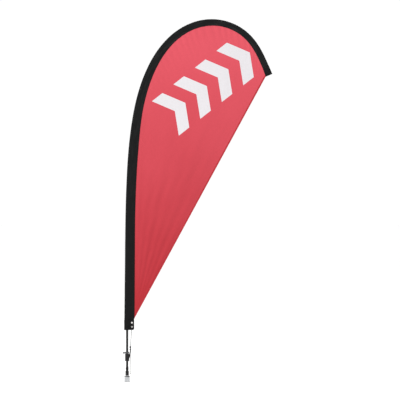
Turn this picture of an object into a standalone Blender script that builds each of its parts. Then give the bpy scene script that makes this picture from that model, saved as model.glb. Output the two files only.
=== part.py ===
"""Teardrop flag on a bent pole, standing on a rotating spindle in a ground spike.

Metres, +Z up. The origin is on the spindle's axis at ground level. The flag lies in the XZ plane and
spreads towards +X. Pieces on the pole are modelled straight, as on a bench, and then bent with it.
"""

import math

import bmesh
import bpy
from mathutils import Matrix, Vector

# ---- Clearances ---------------------------------------------------------------------------------
GAP = 0.0003                 # between two pieces that touch
POLE_FIT = 0.0003            # radial, pole section in its ferrule
SPINDLE_FIT = 0.0005         # radial, spindle in the pole's bore
SLEEVE_FIT = 0.0003          # radial, sleeve round the thickest thing inside it

# ---- Ground spike -------------------------------------------------------------------------------
SHANK_RADIUS = 0.008
SHANK_LENGTH = 0.48          # below ground, point included
POINT_LENGTH = 0.06
FIN_REACH = 0.030            # from the axis
FIN_TOP = -0.020
FIN_HEIGHT = 0.150
FIN_THICKNESS = 0.003
FIN_COUNT = 4

# ---- Bearing housing ----------------------------------------------------------------------------
BEARING_BORE_RADIUS = 0.006
BEARING_OUTER_RADIUS = 0.014
BEARING_WIDTH = 0.008
BALL_RADIUS = 0.0021
BALL_COUNT = 8
CAGE_HALF_THICKNESS = 0.0006
CAGE_HALF_HEIGHT = 0.0015
RACE_LAND = 0.0014           # from the balls' pitch circle to each race's land
BEARING_DISTANCE = 0.009     # between the two bearings
HOUSING_WALL = 0.0022
HOUSING_FLOOR = 0.003
CIRCLIP_THICKNESS = 0.001
CIRCLIP_WIDTH = 0.0026
CIRCLIP_OPENING = math.radians(50)
CIRCLIP_GROOVE = 0.0007      # depth in the spindle
CAP_THICKNESS = 0.0036
CAP_SKIRT = 0.0015
CAP_SKIRT_WALL = 0.0012

# ---- Spindle ------------------------------------------------------------------------------------
SPINDLE_HEIGHT = 0.115       # above its flange
SPINDLE_FLANGE_WIDTH = 0.0035
SPINDLE_FLANGE_THICKNESS = 0.0028
SHOULDER_WIDTH = 0.0012
O_RING_SECTION = 0.0005      # radius of the ring's own section
O_RING_STATIONS = (0.022, 0.092)   # above the flange

# ---- Pole: three sections that plug together ----------------------------------------------------
LOWER_RADIUS = 0.007
LOWER_WALL = 0.0008
MIDDLE_FIT = 0.0007          # radial, middle section in the lower tube's bore
MIDDLE_WALL = 0.0009
TIP_END_RADIUS = 0.0030
LOWER_JOINT = 0.950          # along the pole, from the ground
UPPER_JOINT = 1.930
POLE_END = 2.902
PLUG_DEPTH = 0.050
JOINT_COLLAR_HEIGHT = 0.045
JOINT_COLLAR_WALL = 0.0006
JOINT_LIP = 0.003
TIP_CAP_RADIUS = 0.0040
TIP_CAP_LENGTH = 0.016
FOOT_WALL = 0.0032
FOOT_BULGE_WALL = 0.0014
FOOT_BULGE_CROWN = 0.0006    # how far the bulge's middle stands out from its ends
FOOT_RING_HEIGHT = 0.027
FOOT_HEIGHT = 0.052
FOOT_LIP = 0.003

# ---- How the sleeve's tension bends the pole: (length of the stretch, radius at its end) ---------
STRAIGHT_LENGTH = 0.850
BENDS = (
    (0.650, 2.590),
    (0.400, 0.830),
    (0.400, 0.344),
    (0.350, 0.307),
    (0.243, math.inf),
)
FACET_SAG = 0.00022          # how far a bent piece's facets leave the true curve
LONGEST_FACET = 0.100

# ---- Sleeve, cuff and pocket --------------------------------------------------------------------
SLEEVE_WALL = 0.0006
SLEEVE_FOOT = 0.372
TIP_IN_POCKET = 0.036        # length of the pole's tip that the pocket takes
POCKET_ROOM = 0.021          # from the pole's end to the pocket's
SLEEVE_HEAD = POLE_END - TIP_IN_POCKET
POCKET_END = POLE_END + POCKET_ROOM
SLEEVE_WIDTHS = ((SLEEVE_FOOT, 0.0620), (0.95, 0.0590), (1.40, 0.0600), (1.65, 0.0535), (2.00, 0.0490),
                 (2.45, 0.0390), (2.75, 0.0395), (SLEEVE_HEAD, 0.0400), (POCKET_END, 0.0440))
SLEEVE_SLACK = 0.0085        # loose cloth outside the pole at the foot
SLACK_END = 1.200            # where the cloth lies tight on the pole
SEAM_WIDTH = 0.007
SEAM_THICKNESS = 0.0020
CUFF_FOOT = 0.312
CUFF_WALL = 0.0016
CUFF_TAB_THICKNESS = 0.0034
CUFF_TAB_EDGE = 0.0420       # from the pole's axis
CUFF_POCKET_EDGE = 0.0165
CUFF_CORNER = 0.009
POCKET_WALL = 0.0012
POCKET_CLOSURE = 0.005
POCKET_EASE = 0.0003         # radial, added to the sleeve's fit at its head

# ---- Eyelets ------------------------------------------------------------------------------------
EYELET_X = CUFF_TAB_EDGE - 0.0135
EYELET_HEIGHTS = {"lower_eyelet": CUFF_FOOT + 0.019, "upper_eyelet": CUFF_FOOT + 0.044}
EYELET_BORE_RADIUS = 0.0024
EYELET_BARREL_RADIUS = 0.0034
EYELET_FLANGE_RADIUS = 0.0055
EYELET_FLANGE = 0.0008
EYELET_CHAMFER = 0.0006
WASHER_CHAMFER = 0.0005

# ---- Flag cloth ---------------------------------------------------------------------------------
CLOTH_THICKNESS = 0.0016
PANEL_FOOT = SLEEVE_FOOT + 0.012
HEM_WIDTH = 0.008
HEM_THICKNESS = 0.0024

# ---- Hook collar and its clamp ------------------------------------------------------------------
COLLAR_FIT = 0.0004
COLLAR_FOOT = 0.126
COLLAR_HEIGHT = 0.042
COLLAR_WALL = 0.0056
COLLAR_CHAMFER = 0.0015
NECK_WALL = 0.0026
NECK_HEIGHT = 0.014
NECK_SLIT = 0.0020
# The hook arm's centreline from inside the collar's wall up: distance out from the collar's side,
# height above its shoulder, and radius. The cord is hitched at the fourth point.
HOOK_ARM = ((-0.0008, -0.018, 0.0040), (0.0028, -0.002, 0.0038), (0.0062, 0.015, 0.0034),
            (0.0065, 0.029, 0.0030), (0.0062, 0.041, 0.0028))
HITCH_POINT = 3
HOOK_BALL_RADIUS = 0.0060
HOOK_BALL_HEIGHT = 0.042     # above the collar's shoulder
BAND_THICKNESS = 0.0010
BAND_HEIGHT = 0.008
BAND_SEAT = 0.003            # from the collar's shoulder up to the band
EAR_REACH = 0.0152           # from the band towards -X
EAR_GAP = 0.0036
SCREW_RADIUS = 0.0018
SCREW_SEAT = 0.0082          # from the band to the screw's axis
SCREW_CHAMFER = 0.0006
SCREW_END = 0.0012           # how far the screw stands out of its nut
SCREW_HEAD_RADIUS = 0.0052
SCREW_HEAD_THICKNESS = 0.0045
NUT_RADIUS = 0.0036
NUT_THICKNESS = 0.0026

# ---- Cord: each route's points were chosen by hand ----------------------------------------------
CORD_RADIUS = 0.0015
CORD_POINT_SPACING = 0.0065
STOPPER_RADIUS = 0.0042
STOPPER_Y = 0.0072
HITCH_TURNS = 2
HITCH_DROP = 0.0005          # from the hook arm's fourth point down to the hitch's middle
HITCH_EASE = 0.0002          # between the hitch's turns, and round the arm
CORD_ROUTE = ((0.0285, 0.0026, 0.3310), (0.0285, -0.0030, 0.3308), (0.0283, -0.0075, 0.3285),
              (0.0277, -0.0096, 0.3220), (0.0266, -0.0099, 0.3080), (0.0246, -0.0096, 0.2800),
              (0.0224, -0.0090, 0.2480), (0.0205, -0.0084, 0.2215), (0.0198, -0.0080, 0.2110),
              (0.0196, -0.0076, 0.2050), (0.0195, -0.0068, 0.2000))
TAIL_ROUTE = ((0.0194, -0.0078, 0.1960), (0.0193, -0.0097, 0.1954), (0.0191, -0.0111, 0.1915),
              (0.0190, -0.0114, 0.1740), (0.0193, -0.0113, 0.1500), (0.0189, -0.0110, 0.1200),
              (0.0187, -0.0109, 0.0900), (0.0188, -0.0110, 0.0640), (0.0188, -0.0110, 0.0525))
TAIL_KNOT_RADIUS = 0.0030

# ---- Facets -------------------------------------------------------------------------------------
ROUND = 24                   # sides of a turned piece
SLIM = 12                    # sides of a slim one
NOSE_FACETS = 6              # facets of the sleeve's round side

# ---- Values that follow from the ones above -----------------------------------------------------
PITCH_RADIUS = (BEARING_BORE_RADIUS + BEARING_OUTER_RADIUS) / 2
HOUSING_BORE = BEARING_OUTER_RADIUS + GAP
HOUSING_RADIUS = HOUSING_BORE + HOUSING_WALL
SEAT_RADIUS = BEARING_BORE_RADIUS - GAP
SPINDLE_FOOT = HOUSING_FLOOR + 2 * GAP
CIRCLIP_FOOT = SPINDLE_FOOT + 2 * GAP
LOWER_BEARING = CIRCLIP_FOOT + CIRCLIP_THICKNESS + GAP
UPPER_BEARING = LOWER_BEARING + BEARING_WIDTH + BEARING_DISTANCE
BEARINGS_TOP = UPPER_BEARING + BEARING_WIDTH
CAP_FOOT = BEARINGS_TOP + GAP + CAP_SKIRT
CAP_TOP = CAP_FOOT + CAP_THICKNESS
FLANGE_FOOT = CAP_TOP + GAP
FLANGE_TOP = FLANGE_FOOT + SPINDLE_FLANGE_THICKNESS
LOWER_BORE = LOWER_RADIUS - LOWER_WALL
MIDDLE_RADIUS = LOWER_BORE - MIDDLE_FIT
MIDDLE_BORE = MIDDLE_RADIUS - MIDDLE_WALL
TIP_ROOT_RADIUS = MIDDLE_BORE - POLE_FIT
SPINDLE_RADIUS = LOWER_BORE - SPINDLE_FIT
SHOULDER_RADIUS = SEAT_RADIUS + SHOULDER_WIDTH
POLE_FOOT_Z = FLANGE_TOP + GAP
LOWER_FOOT = POLE_FOOT_Z + FOOT_LIP + GAP
FERRULE_BORE = LOWER_RADIUS + POLE_FIT
LOWER_COLLAR_RADIUS = FERRULE_BORE + JOINT_COLLAR_WALL
UPPER_COLLAR_RADIUS = MIDDLE_RADIUS + POLE_FIT + JOINT_COLLAR_WALL
FOOT_RADIUS = FERRULE_BORE + FOOT_WALL
FOOT_BULGE_RADIUS = FERRULE_BORE + FOOT_BULGE_WALL
COLLAR_BORE = LOWER_RADIUS + COLLAR_FIT
COLLAR_SHOULDER = COLLAR_FOOT + COLLAR_HEIGHT
COLLAR_RADIUS = COLLAR_BORE + COLLAR_WALL
NECK_RADIUS = COLLAR_BORE + NECK_WALL
HOOK_POINTS = [(COLLAR_RADIUS + out, COLLAR_SHOULDER + up, radius) for out, up, radius in HOOK_ARM]
HITCH_X, HITCH_HEIGHT, HITCH_ARM_RADIUS = HOOK_POINTS[HITCH_POINT]
HITCH_HEIGHT -= HITCH_DROP
BAND_BORE = NECK_RADIUS + GAP
BAND_RADIUS = BAND_BORE + BAND_THICKNESS
BAND_FOOT = COLLAR_SHOULDER + BAND_SEAT
BAND_MIDDLE = BAND_FOOT + BAND_HEIGHT / 2
SCREW_X = -(BAND_RADIUS + SCREW_SEAT)
NOSE_CORNER = 1 / math.cos(math.pi / (2 * NOSE_FACETS))
CUFF_TOP = SLEEVE_FOOT - GAP
POCKET_FOOT = SLEEVE_HEAD + GAP


# ---- The pole's curve ---------------------------------------------------------------------------
def interpolate(pairs, at):
    """The value at a distance along the pole, straight between the (distance, value) pairs."""
    if at <= pairs[0][0]:
        return pairs[0][1]
    for (before, low), (after, high) in zip(pairs, pairs[1:]):
        if at <= after:
            return low + (high - low) * (at - before) / (after - before)
    return pairs[-1][1]


def curvature_pairs():
    """(distance, 1 / radius) at each change of bend."""
    pairs = [(0.0, 0.0), (STRAIGHT_LENGTH, 0.0)]
    for length, radius in BENDS:
        pairs.append((pairs[-1][0] + length, 1 / radius))
    return pairs


def trace_pole(step=0.001):
    """Point and heading every step along the pole's centreline, by adding up its curvature."""
    pairs = curvature_pairs()
    count = round(pairs[-1][0] / step) + 40
    x, z, heading = 0.0, 0.0, math.pi / 2
    trace = [(x, z, heading)]
    for index in range(count):
        turn = interpolate(pairs, (index + 0.5) * step) * step
        middle = heading - turn / 2
        x, z, heading = x + step * math.cos(middle), z + step * math.sin(middle), heading - turn
        trace.append((x, z, heading))
    return step, trace


TRACE_STEP, TRACE = trace_pole()


def pole_frame(at):
    """The centreline's point, and its direction towards the flag, at a distance along the pole."""
    if at <= 0:
        return Vector((0, 0, at)), Vector((1, 0, 0))
    index = min(int(at / TRACE_STEP), len(TRACE) - 2)
    share = at / TRACE_STEP - index
    x, z, heading = (a + (b - a) * share for a, b in zip(TRACE[index], TRACE[index + 1]))
    return Vector((x, 0, z)), Vector((math.sin(heading), 0, -math.cos(heading)))


def stations(start, end):
    """Distances from start to end, closer where the pole bends more, on one grid for every piece."""
    pairs, grid, at = curvature_pairs(), [], STRAIGHT_LENGTH
    while at < end:
        grid.append(at)
        bend = max(interpolate(pairs, at), 1e-6)
        at += min(LONGEST_FACET, math.sqrt(8 * FACET_SAG / bend))
    margin = 0.003
    return [start] + [value for value in grid if start + margin < value < end - margin] + [end]


def bend_on_pole(bm):
    """Moves a piece modelled straight up the Z axis onto the bent pole."""
    for vert in bm.verts:
        point, inward = pole_frame(vert.co.z)
        vert.co = point + inward * vert.co.x + Vector((0, vert.co.y, 0))


# ---- Making objects -----------------------------------------------------------------------------
def clear_scene():
    for obj in list(bpy.data.objects):
        bpy.data.objects.remove(obj)


def make_material(name, color, roughness, metallic=0.0):
    material = bpy.data.materials.new(name)
    material.use_nodes = True
    shader = material.node_tree.nodes["Principled BSDF"]
    shader.inputs["Base Color"].default_value = (*color, 1)
    shader.inputs["Roughness"].default_value = roughness
    shader.inputs["Metallic"].default_value = metallic
    material.diffuse_color = (*color, 1)
    return material


def add_object(name, bm, material, origin=(0, 0, 0), parent=None, smooth=True):
    """Turns a bmesh in world coordinates into an object whose origin is at the given point."""
    bmesh.ops.remove_doubles(bm, verts=bm.verts, dist=1e-6)
    bmesh.ops.recalc_face_normals(bm, faces=bm.faces)
    bmesh.ops.translate(bm, verts=bm.verts, vec=-Vector(origin))
    mesh = bpy.data.meshes.new(name)
    bm.to_mesh(mesh)
    bm.free()
    if smooth:
        mesh.shade_smooth()
        mesh.set_sharp_from_angle(angle=math.radians(35))
    mesh.materials.append(material)
    obj = bpy.data.objects.new(name, mesh)
    bpy.context.scene.collection.objects.link(obj)
    if parent:
        obj.parent = parent
        obj.location = Vector(origin) - parent_point(parent)
    else:
        obj.location = origin
    return obj


def add_empty(name, origin, parent=None):
    empty = bpy.data.objects.new(name, None)
    empty["world_point"] = origin
    bpy.context.scene.collection.objects.link(empty)
    empty.empty_display_size = 0.02
    empty.parent = parent
    empty.location = Vector(origin) - (parent_point(parent) if parent else Vector())
    return empty


def parent_point(parent):
    return Vector(parent["world_point"])


def spin_profile(profile, sides=ROUND, closed=True):
    """A turned solid about Z from (radius, height) points. An open profile starts and ends on the axis."""
    bm = bmesh.new()
    verts = [bm.verts.new((radius, 0, height)) for radius, height in profile]
    edges = [bm.edges.new(pair) for pair in zip(verts, verts[1:])]
    if closed:
        edges.append(bm.edges.new((verts[-1], verts[0])))
    bmesh.ops.spin(bm, geom=verts + edges, cent=(0, 0, 0), axis=(0, 0, 1), angle=math.tau,
                   steps=sides, use_merge=True)
    bmesh.ops.remove_doubles(bm, verts=bm.verts, dist=1e-6)
    return bm


def tube_profile(outer, inner, distances):
    """A tube's closed profile; outer and inner give the radius at a distance."""
    up = [(outer(at), at) for at in distances]
    down = [(inner(at), at) for at in reversed(distances)]
    return up + down


def skin_rings(bm, low, high):
    """Joins two rings of vertices, each vertex to its partner."""
    for start, end, far_end, far_start in zip(low, low[1:] + low[:1], high[1:] + high[:1], high):
        bm.faces.new((start, end, far_end, far_start))


def loft(loops):
    """A solid through loops of points, each with the same number of points, closed at both ends."""
    bm = bmesh.new()
    rings = [[bm.verts.new(point) for point in loop] for loop in loops]
    for low, high in zip(rings, rings[1:]):
        skin_rings(bm, low, high)
    bm.faces.new(rings[0])
    bm.faces.new(rings[-1])
    return bm


def tunnel(outer_loops, inner_loops, closed_head):
    """A hollow solid: outer skin up, inner skin down, open at the foot and closed or open at the head."""
    bm = bmesh.new()
    outer = [[bm.verts.new(point) for point in loop] for loop in outer_loops]
    inner = [[bm.verts.new(point) for point in loop] for loop in inner_loops]
    for rings in (outer, inner):
        for low, high in zip(rings, rings[1:]):
            skin_rings(bm, low, high)
    skin_rings(bm, outer[0], inner[0])
    if closed_head:
        bm.faces.new(outer[-1])
        bm.faces.new(inner[-1])
    else:
        skin_rings(bm, outer[-1], inner[-1])
    return bm


def extrude_outline(points, thickness, axis):
    """A plate from a flat outline, centred on the outline's plane."""
    half = Vector(axis) * thickness / 2
    bm = bmesh.new()
    face = bm.faces.new([bm.verts.new(Vector(point) - half) for point in points])
    grown = bmesh.ops.extrude_face_region(bm, geom=[face])["geom"]
    moved = [item for item in grown if isinstance(item, bmesh.types.BMVert)]
    bmesh.ops.translate(bm, verts=moved, vec=half * 2)
    return bm


def arc_points(radius, angles, height):
    return [(radius * math.cos(angle), radius * math.sin(angle), height) for angle in angles]


def add_box(name, low, high):
    """A box for a cut, left out of the finished object."""
    bm = bmesh.new()
    bmesh.ops.create_cube(bm, size=1)
    low, high = Vector(low), Vector(high)
    bmesh.ops.scale(bm, verts=bm.verts, vec=high - low)
    bmesh.ops.translate(bm, verts=bm.verts, vec=(low + high) / 2)
    return helper_object(name, bm)


def add_cylinder(name, centre, axis, radius, length, sides):
    """A cylinder for a cut or a join, left out of the finished object."""
    bm = bmesh.new()
    bmesh.ops.create_cone(bm, cap_ends=True, segments=sides, radius1=radius, radius2=radius, depth=length)
    turn = Vector((0, 0, 1)).rotation_difference(Vector(axis)).to_matrix().to_4x4()
    bmesh.ops.transform(bm, verts=bm.verts, matrix=Matrix.Translation(centre) @ turn)
    return helper_object(name, bm)


def helper_object(name, bm):
    mesh = bpy.data.meshes.new(name)
    bmesh.ops.recalc_face_normals(bm, faces=bm.faces)
    bm.to_mesh(mesh)
    bm.free()
    helper = bpy.data.objects.new(name, mesh)
    bpy.context.scene.collection.objects.link(helper)
    helper.hide_render = True
    helper.display_type = "WIRE"
    return helper


def boolean(obj, helper, operation):
    modifier = obj.modifiers.new(helper.name, "BOOLEAN")
    modifier.operation = operation
    modifier.solver = "EXACT"
    modifier.object = helper


# ---- Ground spike and housing -------------------------------------------------------------------
def add_spike(steel):
    top = HOUSING_FLOOR - GAP
    tip = -SHANK_LENGTH
    profile = [(0, top), (SHANK_RADIUS, top), (SHANK_RADIUS, tip + POINT_LENGTH), (0, tip)]
    add_object("spike_shank", spin_profile(profile, closed=False), steel)
    inner = SHANK_RADIUS + GAP
    slope = FIN_REACH - inner
    outline = [(inner, 0, FIN_TOP), (FIN_REACH, 0, FIN_TOP),
               (FIN_REACH, 0, FIN_TOP - FIN_HEIGHT + slope), (inner, 0, FIN_TOP - FIN_HEIGHT)]
    for index in range(FIN_COUNT):
        bm = extrude_outline(outline, FIN_THICKNESS, (0, 1, 0))
        turn = Matrix.Rotation(math.tau * (index + 0.5) / FIN_COUNT, 4, "Z")
        bmesh.ops.transform(bm, verts=bm.verts, matrix=turn)
        add_object(f"spike_fin_{index + 1}", bm, steel, smooth=False)


def add_housing(steel, plastic):
    bore = SHANK_RADIUS + GAP
    chamfer = 0.001
    wall_top = CAP_FOOT - GAP
    housing = [(bore, 0), (HOUSING_RADIUS - chamfer, 0), (HOUSING_RADIUS, chamfer),
               (HOUSING_RADIUS, wall_top), (HOUSING_BORE, wall_top), (HOUSING_BORE, HOUSING_FLOOR),
               (bore, HOUSING_FLOOR)]
    add_object("bearing_housing", spin_profile(housing, 32), steel)
    hole = SHOULDER_RADIUS + GAP
    skirt_out = HOUSING_BORE - GAP
    skirt_in = skirt_out - CAP_SKIRT_WALL
    skirt_foot = BEARINGS_TOP + GAP
    cap = [(hole, CAP_FOOT), (skirt_in, CAP_FOOT), (skirt_in, skirt_foot), (skirt_out, skirt_foot),
           (skirt_out, CAP_FOOT), (HOUSING_RADIUS, CAP_FOOT), (HOUSING_RADIUS, CAP_TOP - chamfer),
           (HOUSING_RADIUS - chamfer, CAP_TOP), (hole, CAP_TOP)]
    add_object("housing_cap", spin_profile(cap, 32), plastic)


def groove(centre, side, radius, steps=4):
    """Points of a ball track in a race's face, from its lower edge to its upper one."""
    half = math.acos(RACE_LAND / radius)
    points = []
    for index in range(steps + 1):
        angle = half * (2 * index / steps - 1)
        points.append((PITCH_RADIUS + side * radius * math.cos(angle), centre + radius * math.sin(angle)))
    return points


def add_bearing(place, foot, steel, brass, cage_hinge, spindle_hinge):
    """A ball bearing: two races, and a cage whose balls are part of it."""
    middle = foot + BEARING_WIDTH / 2
    top = foot + BEARING_WIDTH
    track = BALL_RADIUS + GAP
    outer_land = PITCH_RADIUS + RACE_LAND
    inner_land = PITCH_RADIUS - RACE_LAND
    outer = [(BEARING_OUTER_RADIUS, foot), (BEARING_OUTER_RADIUS, top), (outer_land, top)]
    outer += list(reversed(groove(middle, 1, track))) + [(outer_land, foot)]
    add_object(f"{place}_outer_race", spin_profile(outer), steel)
    inner = [(BEARING_BORE_RADIUS, foot), (inner_land, foot)] + groove(middle, -1, track)
    inner += [(inner_land, top), (BEARING_BORE_RADIUS, top)]
    add_object(f"{place}_inner_race", spin_profile(inner), steel, parent=spindle_hinge)

    ring = [(PITCH_RADIUS - CAGE_HALF_THICKNESS, middle - CAGE_HALF_HEIGHT),
            (PITCH_RADIUS + CAGE_HALF_THICKNESS, middle - CAGE_HALF_HEIGHT),
            (PITCH_RADIUS + CAGE_HALF_THICKNESS, middle + CAGE_HALF_HEIGHT),
            (PITCH_RADIUS - CAGE_HALF_THICKNESS, middle + CAGE_HALF_HEIGHT)]
    cage = add_object(f"{place}_ball_cage", spin_profile(ring), brass, parent=cage_hinge)
    balls = bmesh.new()
    for index in range(BALL_COUNT):
        turn = Matrix.Rotation(math.tau * index / BALL_COUNT, 4, "Z")
        place_ball = turn @ Matrix.Translation((PITCH_RADIUS, 0, middle))
        bmesh.ops.create_uvsphere(balls, u_segments=8, v_segments=6, radius=BALL_RADIUS, matrix=place_ball)
    boolean(cage, helper_object(f"{place}_balls", balls), "UNION")


def add_bearing_spacer(steel, spindle_hinge):
    foot = LOWER_BEARING + BEARING_WIDTH + GAP
    top = UPPER_BEARING - GAP
    outer = PITCH_RADIUS - RACE_LAND
    ring = [(BEARING_BORE_RADIUS, foot), (outer, foot), (outer, top), (BEARING_BORE_RADIUS, top)]
    add_object("bearing_spacer", spin_profile(ring), steel, parent=spindle_hinge)


# ---- Spindle ------------------------------------------------------------------------------------
def o_ring_groove(height):
    """The notch in the spindle that holds one O-ring."""
    depth = 2 * O_RING_SECTION + GAP
    half = O_RING_SECTION + GAP
    return [(SPINDLE_RADIUS, height - half), (SPINDLE_RADIUS - depth, height - half),
            (SPINDLE_RADIUS - depth, height + half), (SPINDLE_RADIUS, height + half)]


def add_spindle(steel, rubber, hinge):
    clip_low, clip_high = CIRCLIP_FOOT - GAP, CIRCLIP_FOOT + CIRCLIP_THICKNESS + GAP / 2
    clip_groove = SEAT_RADIUS - CIRCLIP_GROOVE
    top = FLANGE_TOP + SPINDLE_HEIGHT
    chamfer = 0.002
    flange = SHOULDER_RADIUS + SPINDLE_FLANGE_WIDTH
    profile = [(0, SPINDLE_FOOT), (SEAT_RADIUS, SPINDLE_FOOT), (SEAT_RADIUS, clip_low),
               (clip_groove, clip_low), (clip_groove, clip_high), (SEAT_RADIUS, clip_high),
               (SEAT_RADIUS, BEARINGS_TOP + GAP), (SHOULDER_RADIUS, BEARINGS_TOP + GAP),
               (SHOULDER_RADIUS, FLANGE_FOOT), (flange, FLANGE_FOOT), (flange, FLANGE_TOP),
               (SPINDLE_RADIUS, FLANGE_TOP)]
    for station in O_RING_STATIONS:
        profile += o_ring_groove(FLANGE_TOP + station)
    profile += [(SPINDLE_RADIUS, top - chamfer), (SPINDLE_RADIUS - chamfer, top), (0, top)]
    add_object("spindle", spin_profile(profile, closed=False), steel, parent=hinge)

    for name, station in zip(("lower_o_ring", "upper_o_ring"), O_RING_STATIONS):
        centre = SPINDLE_RADIUS - O_RING_SECTION + GAP / 2
        height = FLANGE_TOP + station
        ring = []
        for index in range(8):
            angle = math.tau * index / 8
            ring.append((centre + O_RING_SECTION * math.cos(angle),
                         height + O_RING_SECTION * math.sin(angle)))
        add_object(name, spin_profile(ring), rubber, parent=hinge)

    inner = clip_groove + GAP
    middle = CIRCLIP_FOOT + CIRCLIP_THICKNESS / 2
    start = CIRCLIP_OPENING / 2
    angles = [start + (math.tau - CIRCLIP_OPENING) * index / ROUND for index in range(ROUND + 1)]
    outline = arc_points(inner + CIRCLIP_WIDTH, angles, middle)
    outline += arc_points(inner, reversed(angles), middle)
    clip = extrude_outline(outline, CIRCLIP_THICKNESS, (0, 0, 1))
    add_object("spindle_circlip", clip, steel, parent=hinge)


# ---- Pole ---------------------------------------------------------------------------------------
def add_pole(aluminium, fibreglass, steel, plastic, rubber, body):
    lower = spin_profile(tube_profile(lambda at: LOWER_RADIUS, lambda at: LOWER_BORE,
                                      stations(LOWER_FOOT, LOWER_JOINT)))
    bend_on_pole(lower)
    add_object("pole_lower", lower, aluminium, parent=body)

    middle_distances = stations(LOWER_JOINT - PLUG_DEPTH, UPPER_JOINT)
    middle = spin_profile(tube_profile(lambda at: MIDDLE_RADIUS, lambda at: MIDDLE_BORE,
                                       middle_distances), SLIM)
    bend_on_pole(middle)
    add_object("pole_middle", middle, fibreglass, parent=body)

    taper = ((UPPER_JOINT, TIP_ROOT_RADIUS), (POLE_END, TIP_END_RADIUS))
    tip_distances = stations(UPPER_JOINT - PLUG_DEPTH, POLE_END)
    profile = [(0, tip_distances[0])] + [(interpolate(taper, at), at) for at in tip_distances]
    tip = spin_profile(profile + [(0, tip_distances[-1])], SLIM, closed=False)
    bend_on_pole(tip)
    add_object("pole_tip", tip, fibreglass, parent=body)

    add_joint_collar("lower_joint_collar", LOWER_JOINT, LOWER_RADIUS, MIDDLE_RADIUS, steel, body)
    add_joint_collar("upper_joint_collar", UPPER_JOINT, MIDDLE_RADIUS, TIP_ROOT_RADIUS, steel, body)
    add_tip_cap(taper, rubber, body)
    add_pole_foot(plastic, body)


def add_joint_collar(name, joint, outer_tube, inner_tube, material, body):
    """A ferrule round the end of one section, whose lip guides the next section."""
    wall = outer_tube + POLE_FIT + JOINT_COLLAR_WALL
    distances = stations(joint - JOINT_COLLAR_HEIGHT, joint + GAP)
    profile = [(wall, at) for at in distances] + [(wall, joint + JOINT_LIP)]
    profile += [(inner_tube + POLE_FIT, joint + JOINT_LIP), (inner_tube + POLE_FIT, joint + GAP)]
    profile += [(outer_tube + POLE_FIT, at) for at in reversed(distances)]
    bm = spin_profile(profile)
    bend_on_pole(bm)
    add_object(name, bm, material, parent=body)


def add_tip_cap(taper, rubber, body):
    """A blind cap over the pole's end, round at its nose."""
    foot = POLE_END - TIP_CAP_LENGTH + TIP_CAP_RADIUS
    bore = interpolate(taper, foot) + GAP
    nose = [(TIP_CAP_RADIUS * math.cos(angle), POLE_END + GAP + TIP_CAP_RADIUS * math.sin(angle) * 0.8)
            for angle in (math.radians(step) for step in (20, 45, 68))]
    profile = [(0, POLE_END + GAP), (bore, POLE_END + GAP), (bore, foot), (TIP_CAP_RADIUS, foot)]
    profile += nose + [(0, POLE_END + GAP + TIP_CAP_RADIUS * 0.8)]
    bm = spin_profile(profile, SLIM, closed=False)
    bend_on_pole(bm)
    add_object("tip_cap", bm, rubber, parent=body)


def add_pole_foot(plastic, body):
    """The ferrule that the lower tube stands in. Its lip sits on the spindle's flange."""
    lip_bore = SPINDLE_RADIUS + GAP
    bore = FERRULE_BORE
    chamfer = 0.0012
    bulge_end = FOOT_BULGE_RADIUS - FOOT_BULGE_CROWN
    ring_top = POLE_FOOT_Z + FOOT_RING_HEIGHT
    top = POLE_FOOT_Z + FOOT_HEIGHT
    profile = [(lip_bore, POLE_FOOT_Z), (FOOT_RADIUS - chamfer, POLE_FOOT_Z),
               (FOOT_RADIUS, POLE_FOOT_Z + chamfer), (FOOT_RADIUS, ring_top - chamfer),
               (FOOT_RADIUS - chamfer, ring_top), (bulge_end, ring_top + chamfer),
               (FOOT_BULGE_RADIUS, (ring_top + top) / 2), (bulge_end, top - chamfer),
               (bore + 0.0005, top), (bore, top), (bore, POLE_FOOT_Z + FOOT_LIP),
               (lip_bore, POLE_FOOT_Z + FOOT_LIP)]
    add_object("pole_foot", spin_profile(profile), plastic, parent=body)


# ---- Sleeve -------------------------------------------------------------------------------------
def inner_radius(at):
    """The sleeve's inside radius: it clears the ferrules and the tip's cap."""
    pairs = ((LOWER_JOINT + JOINT_LIP, LOWER_COLLAR_RADIUS + SLEEVE_FIT),
             (UPPER_JOINT + JOINT_LIP, UPPER_COLLAR_RADIUS + SLEEVE_FIT),
             (SLEEVE_HEAD, TIP_CAP_RADIUS + SLEEVE_FIT + POCKET_EASE))
    return interpolate(pairs, at)


def slack(at):
    return interpolate(((SLEEVE_FOOT, SLEEVE_SLACK), (SLACK_END, 0.0)), at)


def seam_edge(at):
    """How far the sleeve's sewn edge lies from the pole's axis, towards the flag."""
    return interpolate(SLEEVE_WIDTHS, at) - (inner_radius(at) + SLEEVE_WALL) * NOSE_CORNER - slack(at)


def teardrop_section(radius, nose, edge, half_thickness, at):
    """A loop round the pole: round outside, tapering to a flat edge towards the flag."""
    corner = radius * NOSE_CORNER
    tangent = math.acos(min(corner / edge, 1))
    points = [(edge, half_thickness), (corner * math.cos(tangent), corner * math.sin(tangent))]
    for index in range(NOSE_FACETS + 1):
        angle = math.pi / 2 + math.pi * index / NOSE_FACETS
        points.append((-nose + corner * math.cos(angle), corner * math.sin(angle)))
    points += [(corner * math.cos(tangent), -corner * math.sin(tangent)), (edge, -half_thickness)]
    return [(x, y, at) for x, y in points]


def add_sleeve(cloth, body):
    distances = stations(SLEEVE_FOOT, SLEEVE_HEAD)
    outer, inner = [], []
    for at in distances:
        radius, edge = inner_radius(at), seam_edge(at)
        outer.append(teardrop_section(radius + SLEEVE_WALL, slack(at), edge, SEAM_THICKNESS / 2, at))
        inner.append(teardrop_section(radius, slack(at), edge - SEAM_WIDTH, GAP, at))
    bm = tunnel(outer, inner, closed_head=False)
    bend_on_pole(bm)
    add_object("pole_sleeve", bm, cloth, parent=body)


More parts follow.
